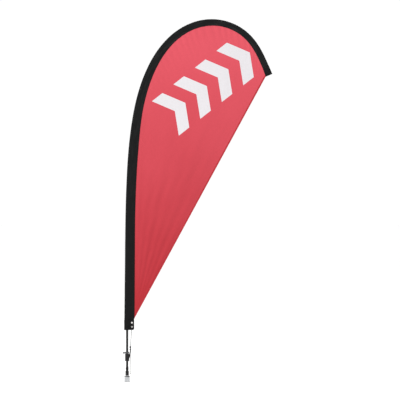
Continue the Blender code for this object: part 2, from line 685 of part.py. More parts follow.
def add_cuff(webbing, body):
    """The reinforced foot of the sleeve, with a flat tab for the eyelets."""
    radius = inner_radius(CUFF_FOOT)
    half = CUFF_TAB_THICKNESS / 2
    outer, inner = [], []
    steps = ((CUFF_FOOT, 0.30), (CUFF_FOOT + 0.30 * CUFF_CORNER, 0.72), (CUFF_FOOT + CUFF_CORNER, 1.0),
             (CUFF_TOP, 1.0))
    for at, share in steps:
        edge = CUFF_TAB_EDGE - CUFF_CORNER * (1 - share)
        section = teardrop_section(radius + CUFF_WALL, SLEEVE_SLACK, CUFF_POCKET_EDGE, half, at)
        outer.append([(edge, half, at)] + section + [(edge, -half, at)])
        pocket = teardrop_section(radius, SLEEVE_SLACK, CUFF_POCKET_EDGE - CUFF_WALL, GAP, at)
        nib = CUFF_POCKET_EDGE - CUFF_WALL * 3 / 4
        inner.append([(nib, GAP, at)] + pocket + [(nib, -GAP, at)])
    bm = tunnel(outer, inner, closed_head=False)
    cuff = add_object("sleeve_cuff", bm, webbing, parent=body)
    for name, height in EYELET_HEIGHTS.items():
        hole = add_cylinder(f"{name}_hole", (EYELET_X, 0, height), (0, 1, 0),
                            EYELET_BARREL_RADIUS + GAP, 4 * CUFF_TAB_THICKNESS, 16)
        boolean(cuff, hole, "DIFFERENCE")


def add_tip_pocket(webbing, body):
    """The pocket that takes the pole's tip and closes the sleeve."""
    distances = stations(POCKET_FOOT, POCKET_END)
    radius = inner_radius(POCKET_FOOT)
    outer, inner = [], []
    for at in distances:
        edge = interpolate(SLEEVE_WIDTHS, at) - (radius + POCKET_WALL) * NOSE_CORNER
        outer.append(teardrop_section(radius + POCKET_WALL, 0, edge, SEAM_THICKNESS / 2, at))
        depth = min(at, POCKET_END - POCKET_CLOSURE)
        inner.append(teardrop_section(radius, 0, edge - SEAM_WIDTH, GAP, depth))
    bm = tunnel(outer, inner, closed_head=True)
    bend_on_pole(bm)
    add_object("tip_pocket", bm, webbing, parent=body)


def add_eyelets(metal, body):
    """Each eyelet's barrel and front flange are one piece; the washer behind is another."""
    half = CUFF_TAB_THICKNESS / 2 + GAP
    for name, height in EYELET_HEIGHTS.items():
        barrel = [(EYELET_BORE_RADIUS, -half - EYELET_FLANGE), (EYELET_BORE_RADIUS, half + EYELET_FLANGE),
                  (EYELET_BARREL_RADIUS, half + EYELET_FLANGE), (EYELET_BARREL_RADIUS, -half),
                  (EYELET_FLANGE_RADIUS, -half),
                  (EYELET_FLANGE_RADIUS - EYELET_CHAMFER, -half - EYELET_FLANGE)]
        washer_bore = EYELET_BARREL_RADIUS + GAP
        washer = [(washer_bore, half), (EYELET_FLANGE_RADIUS, half),
                  (EYELET_FLANGE_RADIUS - WASHER_CHAMFER, half + EYELET_FLANGE),
                  (washer_bore, half + EYELET_FLANGE)]
        lay_down = Matrix.Translation((EYELET_X, 0, height)) @ Matrix.Rotation(-math.pi / 2, 4, "X")
        for part_name, profile in ((name, barrel), (f"{name}_washer", washer)):
            bm = spin_profile(profile, 16)
            bmesh.ops.transform(bm, verts=bm.verts, matrix=lay_down)
            add_object(part_name, bm, metal, parent=body)


# ---- Flag cloth ---------------------------------------------------------------------------------
def seam_point(at):
    """A point of the cloth's edge along the sleeve, in the flag's plane."""
    point, inward = pole_frame(at)
    if at < POCKET_FOOT:
        edge = seam_edge(at)
    else:
        edge = interpolate(SLEEVE_WIDTHS, at) - (inner_radius(POCKET_FOOT) + POCKET_WALL) * NOSE_CORNER
    return point + inward * (edge + GAP)


def cloth_outline():
    """The cloth's edge: up along the sleeve's facets, round the head, and straight back down."""
    low, high = stations(SLEEVE_FOOT, SLEEVE_HEAD), stations(POCKET_FOOT, POCKET_END)
    distances = [PANEL_FOOT] + [at for at in low if at > PANEL_FOOT] + high
    return [seam_point(at) for at in distances]


def cut_cloth(keep_panel):
    """The cloth on one side of the hem's line, as a flat face."""
    outline = cloth_outline()
    foot, head = outline[0], outline[-1]
    along = (head - foot).normalized()
    across = Vector((-along.z, 0, along.x))
    bm = bmesh.new()
    bm.faces.new([bm.verts.new(point) for point in outline])
    line = foot + across * (HEM_WIDTH + (GAP if keep_panel else 0))
    bmesh.ops.bisect_plane(bm, geom=bm.verts[:] + bm.edges[:] + bm.faces[:], plane_co=line,
                           plane_no=across, clear_inner=keep_panel, clear_outer=not keep_panel)
    return bm


def thicken(bm, thickness):
    half = Vector((0, thickness / 2, 0))
    bmesh.ops.translate(bm, verts=bm.verts, vec=-half)
    grown = bmesh.ops.extrude_face_region(bm, geom=bm.faces[:])["geom"]
    moved = [item for item in grown if isinstance(item, bmesh.types.BMVert)]
    bmesh.ops.translate(bm, verts=moved, vec=half * 2)
    return bm


def add_flag(cloth, body):
    panel = thicken(cut_cloth(keep_panel=True), CLOTH_THICKNESS)
    add_object("flag_panel", panel, cloth, parent=body, smooth=False)
    hem = thicken(cut_cloth(keep_panel=False), HEM_THICKNESS)
    add_object("leech_hem", hem, cloth, parent=body, smooth=False)


# ---- Hook collar --------------------------------------------------------------------------------
def add_hook_collar(plastic, body):
    top = COLLAR_SHOULDER + NECK_HEIGHT
    profile = [(COLLAR_BORE, COLLAR_FOOT), (COLLAR_RADIUS - COLLAR_CHAMFER, COLLAR_FOOT),
               (COLLAR_RADIUS, COLLAR_FOOT + COLLAR_CHAMFER),
               (COLLAR_RADIUS, COLLAR_SHOULDER - COLLAR_CHAMFER),
               (COLLAR_RADIUS - COLLAR_CHAMFER, COLLAR_SHOULDER), (NECK_RADIUS, COLLAR_SHOULDER),
               (NECK_RADIUS, top), (COLLAR_BORE, top)]
    collar = add_object("hook_collar", spin_profile(profile), plastic, parent=body)
    past = 0.002                 # how far the cut runs out of the neck
    slit = add_box("neck_slit", (-NECK_RADIUS - past, -NECK_SLIT / 2, COLLAR_SHOULDER),
                   (-COLLAR_BORE + past, NECK_SLIT / 2, top + past))
    boolean(collar, slit, "DIFFERENCE")

    loops = []
    points = [Vector((x, 0, z)) for x, z, _ in HOOK_POINTS]
    for index, (_, _, radius) in enumerate(HOOK_POINTS):
        ahead = points[min(index + 1, len(points) - 1)] - points[max(index - 1, 0)]
        side = Vector((ahead.z, 0, -ahead.x)).normalized() * radius
        depth = Vector((0, radius, 0))
        angles = [math.tau * step / SLIM for step in range(SLIM)]
        loops.append([points[index] + side * math.cos(angle) + depth * math.sin(angle)
                      for angle in angles])
    boolean(collar, helper_object("hook_arm", loft(loops)), "UNION")
    ball = bmesh.new()
    ball_place = Matrix.Translation((HOOK_POINTS[-1][0], 0, COLLAR_SHOULDER + HOOK_BALL_HEIGHT))
    bmesh.ops.create_uvsphere(ball, u_segments=16, v_segments=10, radius=HOOK_BALL_RADIUS, matrix=ball_place)
    boolean(collar, helper_object("hook_ball", ball), "UNION")


def band_arc(radius, half_opening, height):
    """The band's ring, from one side of its opening at -X round to the other."""
    start = math.pi - math.asin(half_opening / radius)
    angles = [start * (1 - 2 * index / ROUND) for index in range(ROUND + 1)]
    return arc_points(radius, angles, height)


def add_clamp(steel, body, screw_hinge):
    """A band round the collar's slit neck. Its two ears are drawn together by a screw."""
    centre = BAND_MIDDLE
    half_gap = EAR_GAP / 2
    far = half_gap + BAND_THICKNESS
    ear_end = -(BAND_RADIUS + EAR_REACH)
    outline = ([(ear_end, half_gap, centre)] + band_arc(BAND_BORE, half_gap, centre)
               + [(ear_end, -half_gap, centre), (ear_end, -far, centre)]
               + list(reversed(band_arc(BAND_RADIUS, far, centre)))
               + [(ear_end, far, centre)])
    bm = extrude_outline(outline, BAND_HEIGHT, (0, 0, 1))
    band = add_object("clamp_band", bm, steel, parent=body)
    hole = add_cylinder("screw_hole", (SCREW_X, 0, centre), (0, 1, 0), SCREW_RADIUS + GAP,
                        4 * (EAR_GAP + BAND_THICKNESS), SLIM)
    boolean(band, hole, "DIFFERENCE")

    ear_face = half_gap + BAND_THICKNESS + GAP
    end = ear_face + NUT_THICKNESS + SCREW_END
    chamfer = SCREW_CHAMFER
    head = ear_face + SCREW_HEAD_THICKNESS
    screw = [(0, -end), (SCREW_RADIUS - chamfer, -end), (SCREW_RADIUS, -end + chamfer),
             (SCREW_RADIUS, ear_face), (SCREW_HEAD_RADIUS - chamfer, ear_face),
             (SCREW_HEAD_RADIUS, ear_face + chamfer), (SCREW_HEAD_RADIUS, head - chamfer),
             (SCREW_HEAD_RADIUS - chamfer, head), (0, head)]
    turn_screw = Matrix.Translation((SCREW_X, 0, centre)) @ Matrix.Rotation(math.pi / 2, 4, "X")
    bm = spin_profile(screw, 16, closed=False)
    bmesh.ops.transform(bm, verts=bm.verts, matrix=turn_screw)
    add_object("clamp_screw", bm, steel, origin=(SCREW_X, 0, centre), parent=screw_hinge)

    nut_low, nut_high = ear_face, ear_face + NUT_THICKNESS
    bore = SCREW_RADIUS + GAP
    nut = [(bore, -nut_high), (NUT_RADIUS, -nut_high), (NUT_RADIUS, -nut_low), (bore, -nut_low)]
    bm = spin_profile(nut, 6)
    bmesh.ops.transform(bm, verts=bm.verts, matrix=turn_screw)
    add_object("clamp_nut", bm, steel, parent=body, smooth=False)


# ---- Cord ---------------------------------------------------------------------------------------
def smooth_route(points):
    """Evenly spaced points on a smooth curve through the route's own points."""
    points = [Vector(point) for point in points]
    padded = [2 * points[0] - points[1]] + points + [2 * points[-1] - points[-2]]
    fine = []
    for before, start, end, after in zip(padded, padded[1:], padded[2:], padded[3:]):
        for index in range(20):
            t = index / 20
            fine.append(0.5 * (2 * start + (end - before) * t
                               + (2 * before - 5 * start + 4 * end - after) * t ** 2
                               + (3 * start - before - 3 * end + after) * t ** 3))
    fine.append(points[-1])
    lengths = [0.0]
    for start, end in zip(fine, fine[1:]):
        lengths.append(lengths[-1] + (end - start).length)
    count = max(2, round(lengths[-1] / CORD_POINT_SPACING))
    even = []
    for index in range(count + 1):
        target = lengths[-1] * index / count
        high = next((i for i, value in enumerate(lengths) if value >= target - 1e-9), len(fine) - 1)
        low = max(high - 1, 0)
        span = lengths[high] - lengths[low] or 1
        even.append(fine[low].lerp(fine[high], (target - lengths[low]) / span))
    return even


def add_cord(name, route, material, body):
    points = smooth_route(route)
    curve = bpy.data.curves.new(name, "CURVE")
    curve.dimensions = "3D"
    curve.bevel_depth = CORD_RADIUS
    curve.bevel_resolution = 2
    curve.use_fill_caps = True
    spline = curve.splines.new("POLY")
    spline.points.add(len(points) - 1)
    for slot, point in zip(spline.points, points):
        slot.co = (*point, 1)
    curve.materials.append(material)
    cord = bpy.data.objects.new(name, curve)
    bpy.context.scene.collection.objects.link(cord)
    cord.parent = body
    cord.location = -parent_point(body)


def add_knot(name, centre, radius, material, body):
    bm = bmesh.new()
    bmesh.ops.create_uvsphere(bm, u_segments=12, v_segments=8, radius=radius,
                              matrix=Matrix.Translation(centre))
    add_object(name, bm, material, parent=body)


def add_cords(material, pole_body, collar_body):
    add_cord("tension_cord", CORD_ROUTE, material, pole_body)
    add_knot("stopper_knot", (EYELET_X, STOPPER_Y, EYELET_HEIGHTS["lower_eyelet"]), STOPPER_RADIUS,
             material, pole_body)
    ring_radius = HITCH_ARM_RADIUS + GAP + CORD_RADIUS + HITCH_EASE
    half = HITCH_TURNS * CORD_RADIUS - HITCH_EASE
    section = []
    for index in range(10):
        angle = math.tau * (index + 0.5) / 10
        section.append((ring_radius + CORD_RADIUS * math.cos(angle),
                        HITCH_HEIGHT + math.copysign(half - CORD_RADIUS, math.sin(angle))
                        + CORD_RADIUS * math.sin(angle)))
    bm = spin_profile(section, 16)
    bmesh.ops.translate(bm, verts=bm.verts, vec=(HITCH_X, 0, 0))
    add_object("cord_hitch", bm, material, parent=collar_body)
    add_cord("cord_tail", TAIL_ROUTE, material, collar_body)
    x, y, z = TAIL_ROUTE[-1]
    add_knot("tail_knot", (x, y, z - TAIL_KNOT_RADIUS - GAP), TAIL_KNOT_RADIUS, material, collar_body)


# ---- The whole object ---------------------------------------------------------------------------
def build():
    clear_scene()
    galvanised = make_material("galvanised_steel", (0.62, 0.63, 0.64), 0.42, 1.0)
    steel = make_material("bright_steel", (0.74, 0.75, 0.76), 0.25, 1.0)
    brass = make_material("brass", (0.72, 0.55, 0.28), 0.35, 1.0)
    nickel = make_material("nickel", (0.80, 0.80, 0.79), 0.22, 1.0)
    black_plastic = make_material("black_plastic", (0.015, 0.015, 0.016), 0.5)
    black_aluminium = make_material("black_aluminium", (0.02, 0.02, 0.022), 0.4, 0.6)
    fibreglass = make_material("fibreglass", (0.03, 0.03, 0.032), 0.45)
    rubber = make_material("rubber", (0.02, 0.02, 0.02), 0.8)
    black_cloth = make_material("black_cloth", (0.018, 0.018, 0.020), 0.85)
    webbing = make_material("black_webbing", (0.014, 0.014, 0.015), 0.9)
    red_cloth = make_material("red_cloth", (0.62, 0.055, 0.075), 0.7)
    cord = make_material("pale_cord", (0.62, 0.62, 0.60), 0.8)

    spindle_hinge = add_empty("spindle_spin_axis", (0, 0, 0))
    lower_cage = add_empty("lower_cage_axis", (0, 0, 0))
    upper_cage = add_empty("upper_cage_axis", (0, 0, 0))
    pole_body = add_empty("pole_lift_axis", (0, 0, POLE_FOOT_Z), spindle_hinge)
    collar_body = add_empty("collar_slide_axis", (0, 0, COLLAR_FOOT), pole_body)
    screw_hinge = add_empty("clamp_turn_axis", (SCREW_X, 0, BAND_MIDDLE), collar_body)

    add_spike(galvanised)
    add_housing(galvanised, black_plastic)
    add_bearing("lower", LOWER_BEARING, steel, brass, lower_cage, spindle_hinge)
    add_bearing("upper", UPPER_BEARING, steel, brass, upper_cage, spindle_hinge)
    add_bearing_spacer(steel, spindle_hinge)
    add_spindle(steel, rubber, spindle_hinge)
    add_pole(black_aluminium, fibreglass, steel, black_plastic, rubber, pole_body)
    add_sleeve(black_cloth, pole_body)
    add_cuff(webbing, pole_body)
    add_tip_pocket(webbing, pole_body)
    add_eyelets(nickel, pole_body)
    add_flag(red_cloth, pole_body)
    add_hook_collar(black_plastic, collar_body)
    add_clamp(steel, collar_body, screw_hinge)
    add_cords(cord, pole_body, collar_body)


build()
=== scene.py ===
# %% [markdown]
# # Teardrop flag
# A teardrop flag is a cloth cut like a drop, held open by a pole that its own sleeve bends. This lesson
# dresses the working model in its real cloth, cord, plastic and metal. The model's bodies and sizes come
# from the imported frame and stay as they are: each new piece goes where its plain stand-in was.

# %% Load the frame
import functools
import math

import bmesh
import bpy
import numpy as np
from mathutils import Matrix, Vector, noise


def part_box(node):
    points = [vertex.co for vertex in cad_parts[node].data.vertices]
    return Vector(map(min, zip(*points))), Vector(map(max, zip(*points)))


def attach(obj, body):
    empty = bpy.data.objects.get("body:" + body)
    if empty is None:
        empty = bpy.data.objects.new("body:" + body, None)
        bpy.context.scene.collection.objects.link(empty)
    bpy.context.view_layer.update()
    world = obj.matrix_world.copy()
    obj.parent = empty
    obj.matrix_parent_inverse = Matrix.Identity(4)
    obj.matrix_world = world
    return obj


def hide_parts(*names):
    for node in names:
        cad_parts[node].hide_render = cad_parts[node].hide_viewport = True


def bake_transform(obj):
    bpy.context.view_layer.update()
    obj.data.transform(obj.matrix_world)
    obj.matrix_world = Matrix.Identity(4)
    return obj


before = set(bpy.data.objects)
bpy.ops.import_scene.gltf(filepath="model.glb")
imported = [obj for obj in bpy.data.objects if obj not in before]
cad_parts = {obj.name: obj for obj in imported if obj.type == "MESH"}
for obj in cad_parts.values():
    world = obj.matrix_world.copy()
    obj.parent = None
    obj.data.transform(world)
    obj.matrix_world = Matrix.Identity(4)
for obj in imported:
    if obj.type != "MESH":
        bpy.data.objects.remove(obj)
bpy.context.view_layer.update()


# %% Helpers used throughout
def add_object(name, data):
    """Puts a new object into the scene, at the origin."""
    made = bpy.data.objects.new(name, data)
    bpy.context.scene.collection.objects.link(made)
    return made


def finished_mesh(name, bm):
    """Turns a bmesh into a mesh and frees it."""
    mesh = bpy.data.meshes.new(name)
    bm.to_mesh(mesh)
    bm.free()
    return mesh


def clamped(value):
    return min(max(value, 0.0), 1.0)


def eased(share):
    """A share from 0 to 1 that starts and ends gently."""
    return share * share * (3 - 2 * share)


print("eased, halfway:", eased(0.5))

# %% [markdown]
# ## Camera, floor and light
# The flag is seen square-on from far away, so a long lens keeps the pole from leaning. The floor is one
# wide pale disc and the sky is one pale colour, which leaves the object alone on white from every side.
# Big soft lights stand in front and behind, because a flag is looked at from both sides.

# %% Camera
PICTURE_SIDE = 2.40          # metres that the picture covers at the flag
CAMERA_DISTANCE = 14.0
VIEW_X, VIEW_Z = 0.437, 1.092
SENSOR = 36.0                # millimetres

lens = bpy.data.cameras.new("camera")
lens.sensor_width = SENSOR
lens.lens = SENSOR * CAMERA_DISTANCE / PICTURE_SIDE
lens.clip_end = 200.0
camera = add_object("camera", lens)
camera.location = (VIEW_X, -CAMERA_DISTANCE, VIEW_Z)
camera.rotation_euler = (math.pi / 2, 0, 0)
bpy.context.scene.camera = camera
bpy.context.scene.view_settings.view_transform = "Standard"
print("lens:", round(lens.lens), "mm")


# %% Lights
def add_light(name, place, target, width, power):
    """A soft square light that shines from place to target and isn't seen itself."""
    light = bpy.data.lights.new(name, "AREA")
    light.shape, light.size, light.energy = "SQUARE", width, power
    lamp = add_object(name, light)
    lamp.location = place
    lamp.rotation_euler = (Vector(target) - Vector(place)).to_track_quat("-Z", "Y").to_euler()
    lamp.visible_camera = False


FLAG_MIDDLE = (0.35, 0.0, 1.3)
add_light("key_light", (-5.0, -2.7, 4.2), FLAG_MIDDLE, 1.6, 210)
add_light("fill_light", (2.4, -5.4, 1.8), FLAG_MIDDLE, 3.0, 15)
add_light("back_light", (4.2, 3.4, 4.0), FLAG_MIDDLE, 2.4, 110)

sky = bpy.data.worlds.new("pale_sky")
sky.use_nodes = True
sky_light = sky.node_tree.nodes["Background"].inputs
sky_light["Color"].default_value = (1.0, 1.0, 1.0, 1)
sky_light["Strength"].default_value = 1.03
bpy.context.scene.world = sky
print("lights:", [item.name for item in bpy.data.lights])

# %% Floor
FLOOR_RADIUS = 90.0
floor_shape = bmesh.new()
bmesh.ops.create_circle(floor_shape, cap_ends=True, segments=96, radius=FLOOR_RADIUS)
floor = add_object("floor", finished_mesh("floor", floor_shape))
floor_paint = bpy.data.materials.new("pale_floor")
floor_paint.use_nodes = True
floor_shader = floor_paint.node_tree.nodes["Principled BSDF"].inputs
floor_shader["Base Color"].default_value = (0.98, 0.98, 0.98, 1)
floor_shader["Roughness"].default_value = 0.9
floor_shader["Specular IOR Level"].default_value = 0.1
floor.data.materials.append(floor_paint)
print("floor:", FLOOR_RADIUS, "m")

# %% [markdown]
# ## The pole's curve
# The sleeve is cut shorter than the pole, so it draws the pole into a crook. The curve is five stretches
# whose bend grows evenly from straight to a tight crown and then opens again at the tip. Adding up that
# bend millimetre by millimetre gives the line that every cloth piece follows.

# %% Trace the pole
POLE_STRAIGHT = 0.850
POLE_BENDS = ((0.650, 2.590), (0.400, 0.830), (0.400, 0.344), (0.350, 0.307), (0.243, math.inf))
TRACE_STEP = 0.001

bend_at, bend_of = [0.0, POLE_STRAIGHT], [0.0, 0.0]
for length, radius in POLE_BENDS:
    bend_at.append(bend_at[-1] + length)
    bend_of.append(1 / radius)
middles = (np.arange(round(bend_at[-1] / TRACE_STEP) + 40) + 0.5) * TRACE_STEP
turns = np.interp(middles, bend_at, bend_of) * TRACE_STEP
headings = math.pi / 2 - np.concatenate([[0.0], np.cumsum(turns)])
courses = (headings[1:] + headings[:-1]) / 2
trace_at = np.arange(len(headings)) * TRACE_STEP
trace_x = np.concatenate([[0.0], np.cumsum(np.cos(courses)) * TRACE_STEP])
trace_z = np.concatenate([[0.0], np.cumsum(np.sin(courses)) * TRACE_STEP])


def pole_frame(at):
    """The centreline's point, and its direction towards the flag, at a distance along the pole."""
    heading = np.interp(at, trace_at, headings)
    point = Vector((np.interp(at, trace_at, trace_x), 0, np.interp(at, trace_at, trace_z) + min(at, 0)))
    return point, Vector((math.sin(heading), 0, -math.cos(heading)))


print("crown at", round(float(trace_z.max()), 4), "m")

# %% [markdown]
# ## Making pieces
# Turned parts are spun from a profile, cloth is a grid that a formula lays in place, and cords, arms and
# tubes are a circle that is extruded from point to point. The helpers below do those three things and
# hand the piece to its body in the frame.


# %% Helpers that make pieces
def add_piece(name, bm, material, body, stands_for=(), bevel=0.0, smooth=40, weld=1e-6):
    """Closes and smooths a bmesh, gives it its finish and lets it ride on its body."""
    bmesh.ops.remove_doubles(bm, verts=bm.verts, dist=weld)
    bmesh.ops.dissolve_degenerate(bm, edges=bm.edges, dist=weld)
    bmesh.ops.recalc_face_normals(bm, faces=bm.faces)
    mesh = finished_mesh(name, bm)
    mesh.shade_smooth()
    mesh.set_sharp_from_angle(angle=math.radians(smooth))
    mesh.materials.append(material)
    piece = add_object(name, mesh)
    if bevel:
        rounding = piece.modifiers.new("rounded_edges", "BEVEL")
        rounding.width, rounding.segments, rounding.limit_method = bevel, 3, "ANGLE"
        rounding.angle_limit, rounding.harden_normals = math.radians(30), True
    if body:
        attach(piece, body)
    if stands_for:
        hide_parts(*stands_for)
    print(name, len(mesh.vertices), "vertices")
    return piece


def turned(profile, steps=64, angle=math.tau):
    """A solid of revolution about Z from a closed profile of (radius, height) points."""
    bm = bmesh.new()
    verts = [bm.verts.new((radius, 0, height)) for radius, height in profile]
    edges = [bm.edges.new(pair) for pair in zip(verts, verts[1:] + verts[:1])]
    whole = angle == math.tau
    if not whole:
        bm.faces.new(verts)
    bmesh.ops.spin(bm, geom=verts + edges + bm.faces[:], cent=(0, 0, 0), axis=(0, 0, 1), angle=angle,
                   steps=steps, use_merge=whole)
    return bm


def ring_profile(radius, height, thick):
    """The round section of a ring, as (radius, height) points."""
    turns = [math.tau * index / 16 for index in range(16)]
    return [(radius + thick * math.cos(turn), height + thick * math.sin(turn)) for turn in turns]


def sheet_grid(rows, columns, place, flat):
    """A grid laid in place by place(u, v). Its UV map keeps flat(u, v), the cloth's own metres."""
    bm = bmesh.new()
    uv = bm.loops.layers.uv.new("flat")
    bmesh.ops.create_grid(bm, x_segments=rows, y_segments=columns, size=0.5)
    for face in bm.faces:
        for loop in face.loops:
            loop[uv].uv = flat(loop.vert.co.x + 0.5, loop.vert.co.y + 0.5)
    for vert in bm.verts:
        vert.co = place(clamped(vert.co.x + 0.5), clamped(vert.co.y + 0.5))
    return bm


def grown_verts(result):
    """The vertices among what an extrusion made."""
    return [item for item in result["geom"] if isinstance(item, bmesh.types.BMVert)]


# %% Helpers that sweep a tube
def smooth_route(points, spacing):
    """Evenly spaced points on a smooth curve through a route's own points."""
    points = [Vector(point) for point in points]
    padded = [2 * points[0] - points[1]] + points + [2 * points[-1] - points[-2]]
    fine = []
    for before, start, end, after in zip(padded, padded[1:], padded[2:], padded[3:]):
        for t in (index / 20 for index in range(20)):
            fine.append(0.5 * (2 * start + (end - before) * t
                               + (2 * before - 5 * start + 4 * end - after) * t ** 2
                               + (3 * start - before - 3 * end + after) * t ** 3))
    fine = np.array(fine + [points[-1]])
    along = np.concatenate([[0.0], np.cumsum(np.linalg.norm(np.diff(fine, axis=0), axis=1))])
    count = max(2, round(along[-1] / spacing))
    wanted = np.linspace(0, along[-1], count + 1)
    return [Vector([np.interp(at, along, fine[:, axis]) for axis in range(3)]) for at in wanted], along[-1]


def sweep(bm, points, radii, sides=12):
    """Extrudes a circle from point to point. Its UV map runs along the tube and round it, in metres."""
    uv = bm.loops.layers.uv.get("flat") or bm.loops.layers.uv.new("flat")
    radii = radii if isinstance(radii, (list, tuple)) else [radii] * len(points)
    side, ring, rings, along, travelled = None, None, [], 0.0, []
    for index, (point, radius) in enumerate(zip(points, radii)):
        ahead, behind = points[min(index + 1, len(points) - 1)], points[max(index - 1, 0)]
        course = (ahead - behind).normalized()
        if side is None:
            side = course.orthogonal().normalized()
        side = (side - course * side.dot(course)).normalized()
        up = course.cross(side)
        if ring is None:
            ring = bmesh.ops.create_circle(bm, cap_ends=False, segments=sides, radius=radius)["verts"]
        else:
            edges = [bm.edges.get(pair) for pair in zip(ring, ring[1:] + ring[:1])]
            partner = {}
            for vert in grown_verts(bmesh.ops.extrude_edge_only(bm, edges=edges)):
                for link in vert.link_edges:
                    if link.other_vert(vert) in ring:
                        partner[link.other_vert(vert)] = vert
            ring = [partner[vert] for vert in ring]
            along += (point - points[index - 1]).length
        for step, vert in enumerate(ring):
            turn = math.tau * step / sides
            vert.co = point + (side * math.cos(turn) + up * math.sin(turn)) * radius
        rings.append(ring)
        travelled.append(along)
    arc = math.tau * radii[0] / sides
    for low, high, start, end in zip(rings, rings[1:], travelled, travelled[1:]):
        for step in range(sides):
            corners = (low[step], low[(step + 1) % sides], high[(step + 1) % sides], high[step])
            face = next(f for f in low[step].link_faces if all(vert in f.verts for vert in corners))
            places = ((start, step), (start, step + 1), (end, step + 1), (end, step))
            spots = dict(zip(corners, places))
            for loop in face.loops:
                reached, turned_by = spots[loop.vert]
                loop[uv].uv = (reached, turned_by * arc)
    bm.faces.new(rings[0])
    bm.faces.new(rings[-1])
    return bm


RUN = 40                     # stitches made at a time, because a full bmesh is slow to add to


def sew(bm, points, outward, length=0.0026, gap=0.0010, width=0.00032):
    """A row of thread stitches along points. Each is a small bead drawn out along the seam."""
    spans = [(Vector(b) - Vector(a)).length for a, b in zip(points, points[1:])]
    along = np.concatenate([[0.0], np.cumsum(spans)])
    flat = np.array([tuple(point) for point in points])
    count = int(along[-1] / (length + gap))
    for first in range(0, count, RUN):
        run = bmesh.new()
        for index in range(first, min(first + RUN, count)):
            middle = (index + 0.5) * (length + gap)
            near = (middle - length / 2, middle + length / 2)
            reached = [np.interp(near, along, flat[:, axis]) for axis in range(3)]
            start, end = (Vector(spot) for spot in zip(*reached))
            course = (end - start).normalized()
            across = course.cross(Vector(outward)).normalized()
            turn = Matrix((course, across, course.cross(across) * -1)).transposed().to_4x4()
            stretch = Matrix.Diagonal((length / 2, width, width * 0.8, 1))
            bmesh.ops.create_icosphere(run, subdivisions=1, radius=1.0,
                                       matrix=Matrix.Translation((start + end) / 2) @ turn @ stretch)
        sewn = finished_mesh("run", run)
        bm.from_mesh(sewn)
        bpy.data.meshes.remove(sewn)
    return bm


print("helpers ready")

# %% [markdown]
# ## Finishes
# Three effects are shared: a woven thread pattern, the fine grain of moulded or blasted surfaces, and
# dulling by weather, whose mask also lays painted highlights on the sleeve. Each is a node group that puts
# out masks and heights, and every finish places them with its own values. Cloth reads its own flat UV map
# in metres, so threads follow the cloth round a bend.


# %% Helpers for node trees
def fill(tree, node, values):
    """Sets a node's inputs, and links those whose value is another node's socket."""
    for key, value in values.items():
        if isinstance(value, bpy.types.NodeSocket):
            tree.links.new(value, node.inputs[key])
        else:
            node.inputs[key].default_value = value
    return node


def put(tree, kind, values, **settings):
    """Adds a node with its settings and its inputs."""
    made = tree.nodes.new(kind)
    for key, value in settings.items():
        setattr(made, key, value)
    return fill(tree, made, values)


def maths(tree, operation, first, second=0.0, third=0.0):
    return put(tree, "ShaderNodeMath", {0: first, 1: second, 2: third}, operation=operation).outputs[0]


def blend_colors(tree, factor, low, high):
    return put(tree, "ShaderNodeMix", {0: factor, 6: low, 7: high}, data_type="RGBA").outputs[2]


def new_group(name, inputs, outputs):
    """A shader node group with float or vector inputs, given as {name: default}, and float outputs."""
    group = bpy.data.node_groups.new(name, "ShaderNodeTree")
    for title, default in inputs.items():
        kind = "NodeSocketVector" if default is None else "NodeSocketFloat"
        socket = group.interface.new_socket(name=title, in_out="INPUT", socket_type=kind)
        if default is not None:
            socket.default_value = default
    for title in outputs:
        group.interface.new_socket(name=title, in_out="OUTPUT", socket_type="NodeSocketFloat")
    return group, group.nodes.new("NodeGroupInput").outputs, group.nodes.new("NodeGroupOutput").inputs


# %% Shared effect: woven threads
weave_group, given, wanted = new_group("woven_threads", {"Vector": None, "Pitch": 0.001, "Slant": 0.0},
                                       ("Height", "Tone"))
calc = functools.partial(maths, weave_group)
split = put(weave_group, "ShaderNodeSeparateXYZ", {0: given["Vector"]})
lean = calc("MULTIPLY", split.outputs["Y"], given["Slant"])
warp = calc("DIVIDE", calc("ADD", split.outputs["X"], lean), given["Pitch"])
weft = calc("DIVIDE", split.outputs["Y"], given["Pitch"])
warp_wave, weft_wave = (calc("ABSOLUTE", calc("SINE", calc("MULTIPLY", count, math.pi)))
                        for count in (warp, weft))
over = calc("PINGPONG", calc("ADD", calc("FLOOR", warp), calc("FLOOR", weft)), 1.0)
height = put(weave_group, "ShaderNodeMix", {0: over, 2: warp_wave, 3: weft_wave}, data_type="FLOAT")
height = height.outputs[0]
fuzz = put(weave_group, "ShaderNodeTexNoise", {"Vector": given["Vector"], "Scale": 90.0, "Detail": 3.0})
fuzz = calc("MULTIPLY", fuzz.outputs[0], 0.5)
weave_group.links.new(height, wanted["Height"])
weave_group.links.new(calc("MULTIPLY_ADD", height, 0.5, fuzz), wanted["Tone"])
print("group:", weave_group.name)

# %% Shared effect: fine grain
grain_group, given, wanted = new_group("fine_grain", {"Vector": None, "Scale": 900.0, "Patches": 30.0},
                                       ("Height", "Tone"))
fine = put(grain_group, "ShaderNodeTexNoise", {"Vector": given["Vector"], "Scale": given["Scale"],
                                               "Detail": 2.0})
broad = put(grain_group, "ShaderNodeTexNoise", {"Vector": given["Vector"], "Scale": given["Patches"],
                                                "Detail": 4.0, "Roughness": 0.6})
grain_group.links.new(fine.outputs[0], wanted["Height"])
grain_group.links.new(maths(grain_group, "MULTIPLY_ADD", broad.outputs[0], 0.7,
                            maths(grain_group, "MULTIPLY", fine.outputs[0], 0.3)), wanted["Tone"])
print("group:", grain_group.name)
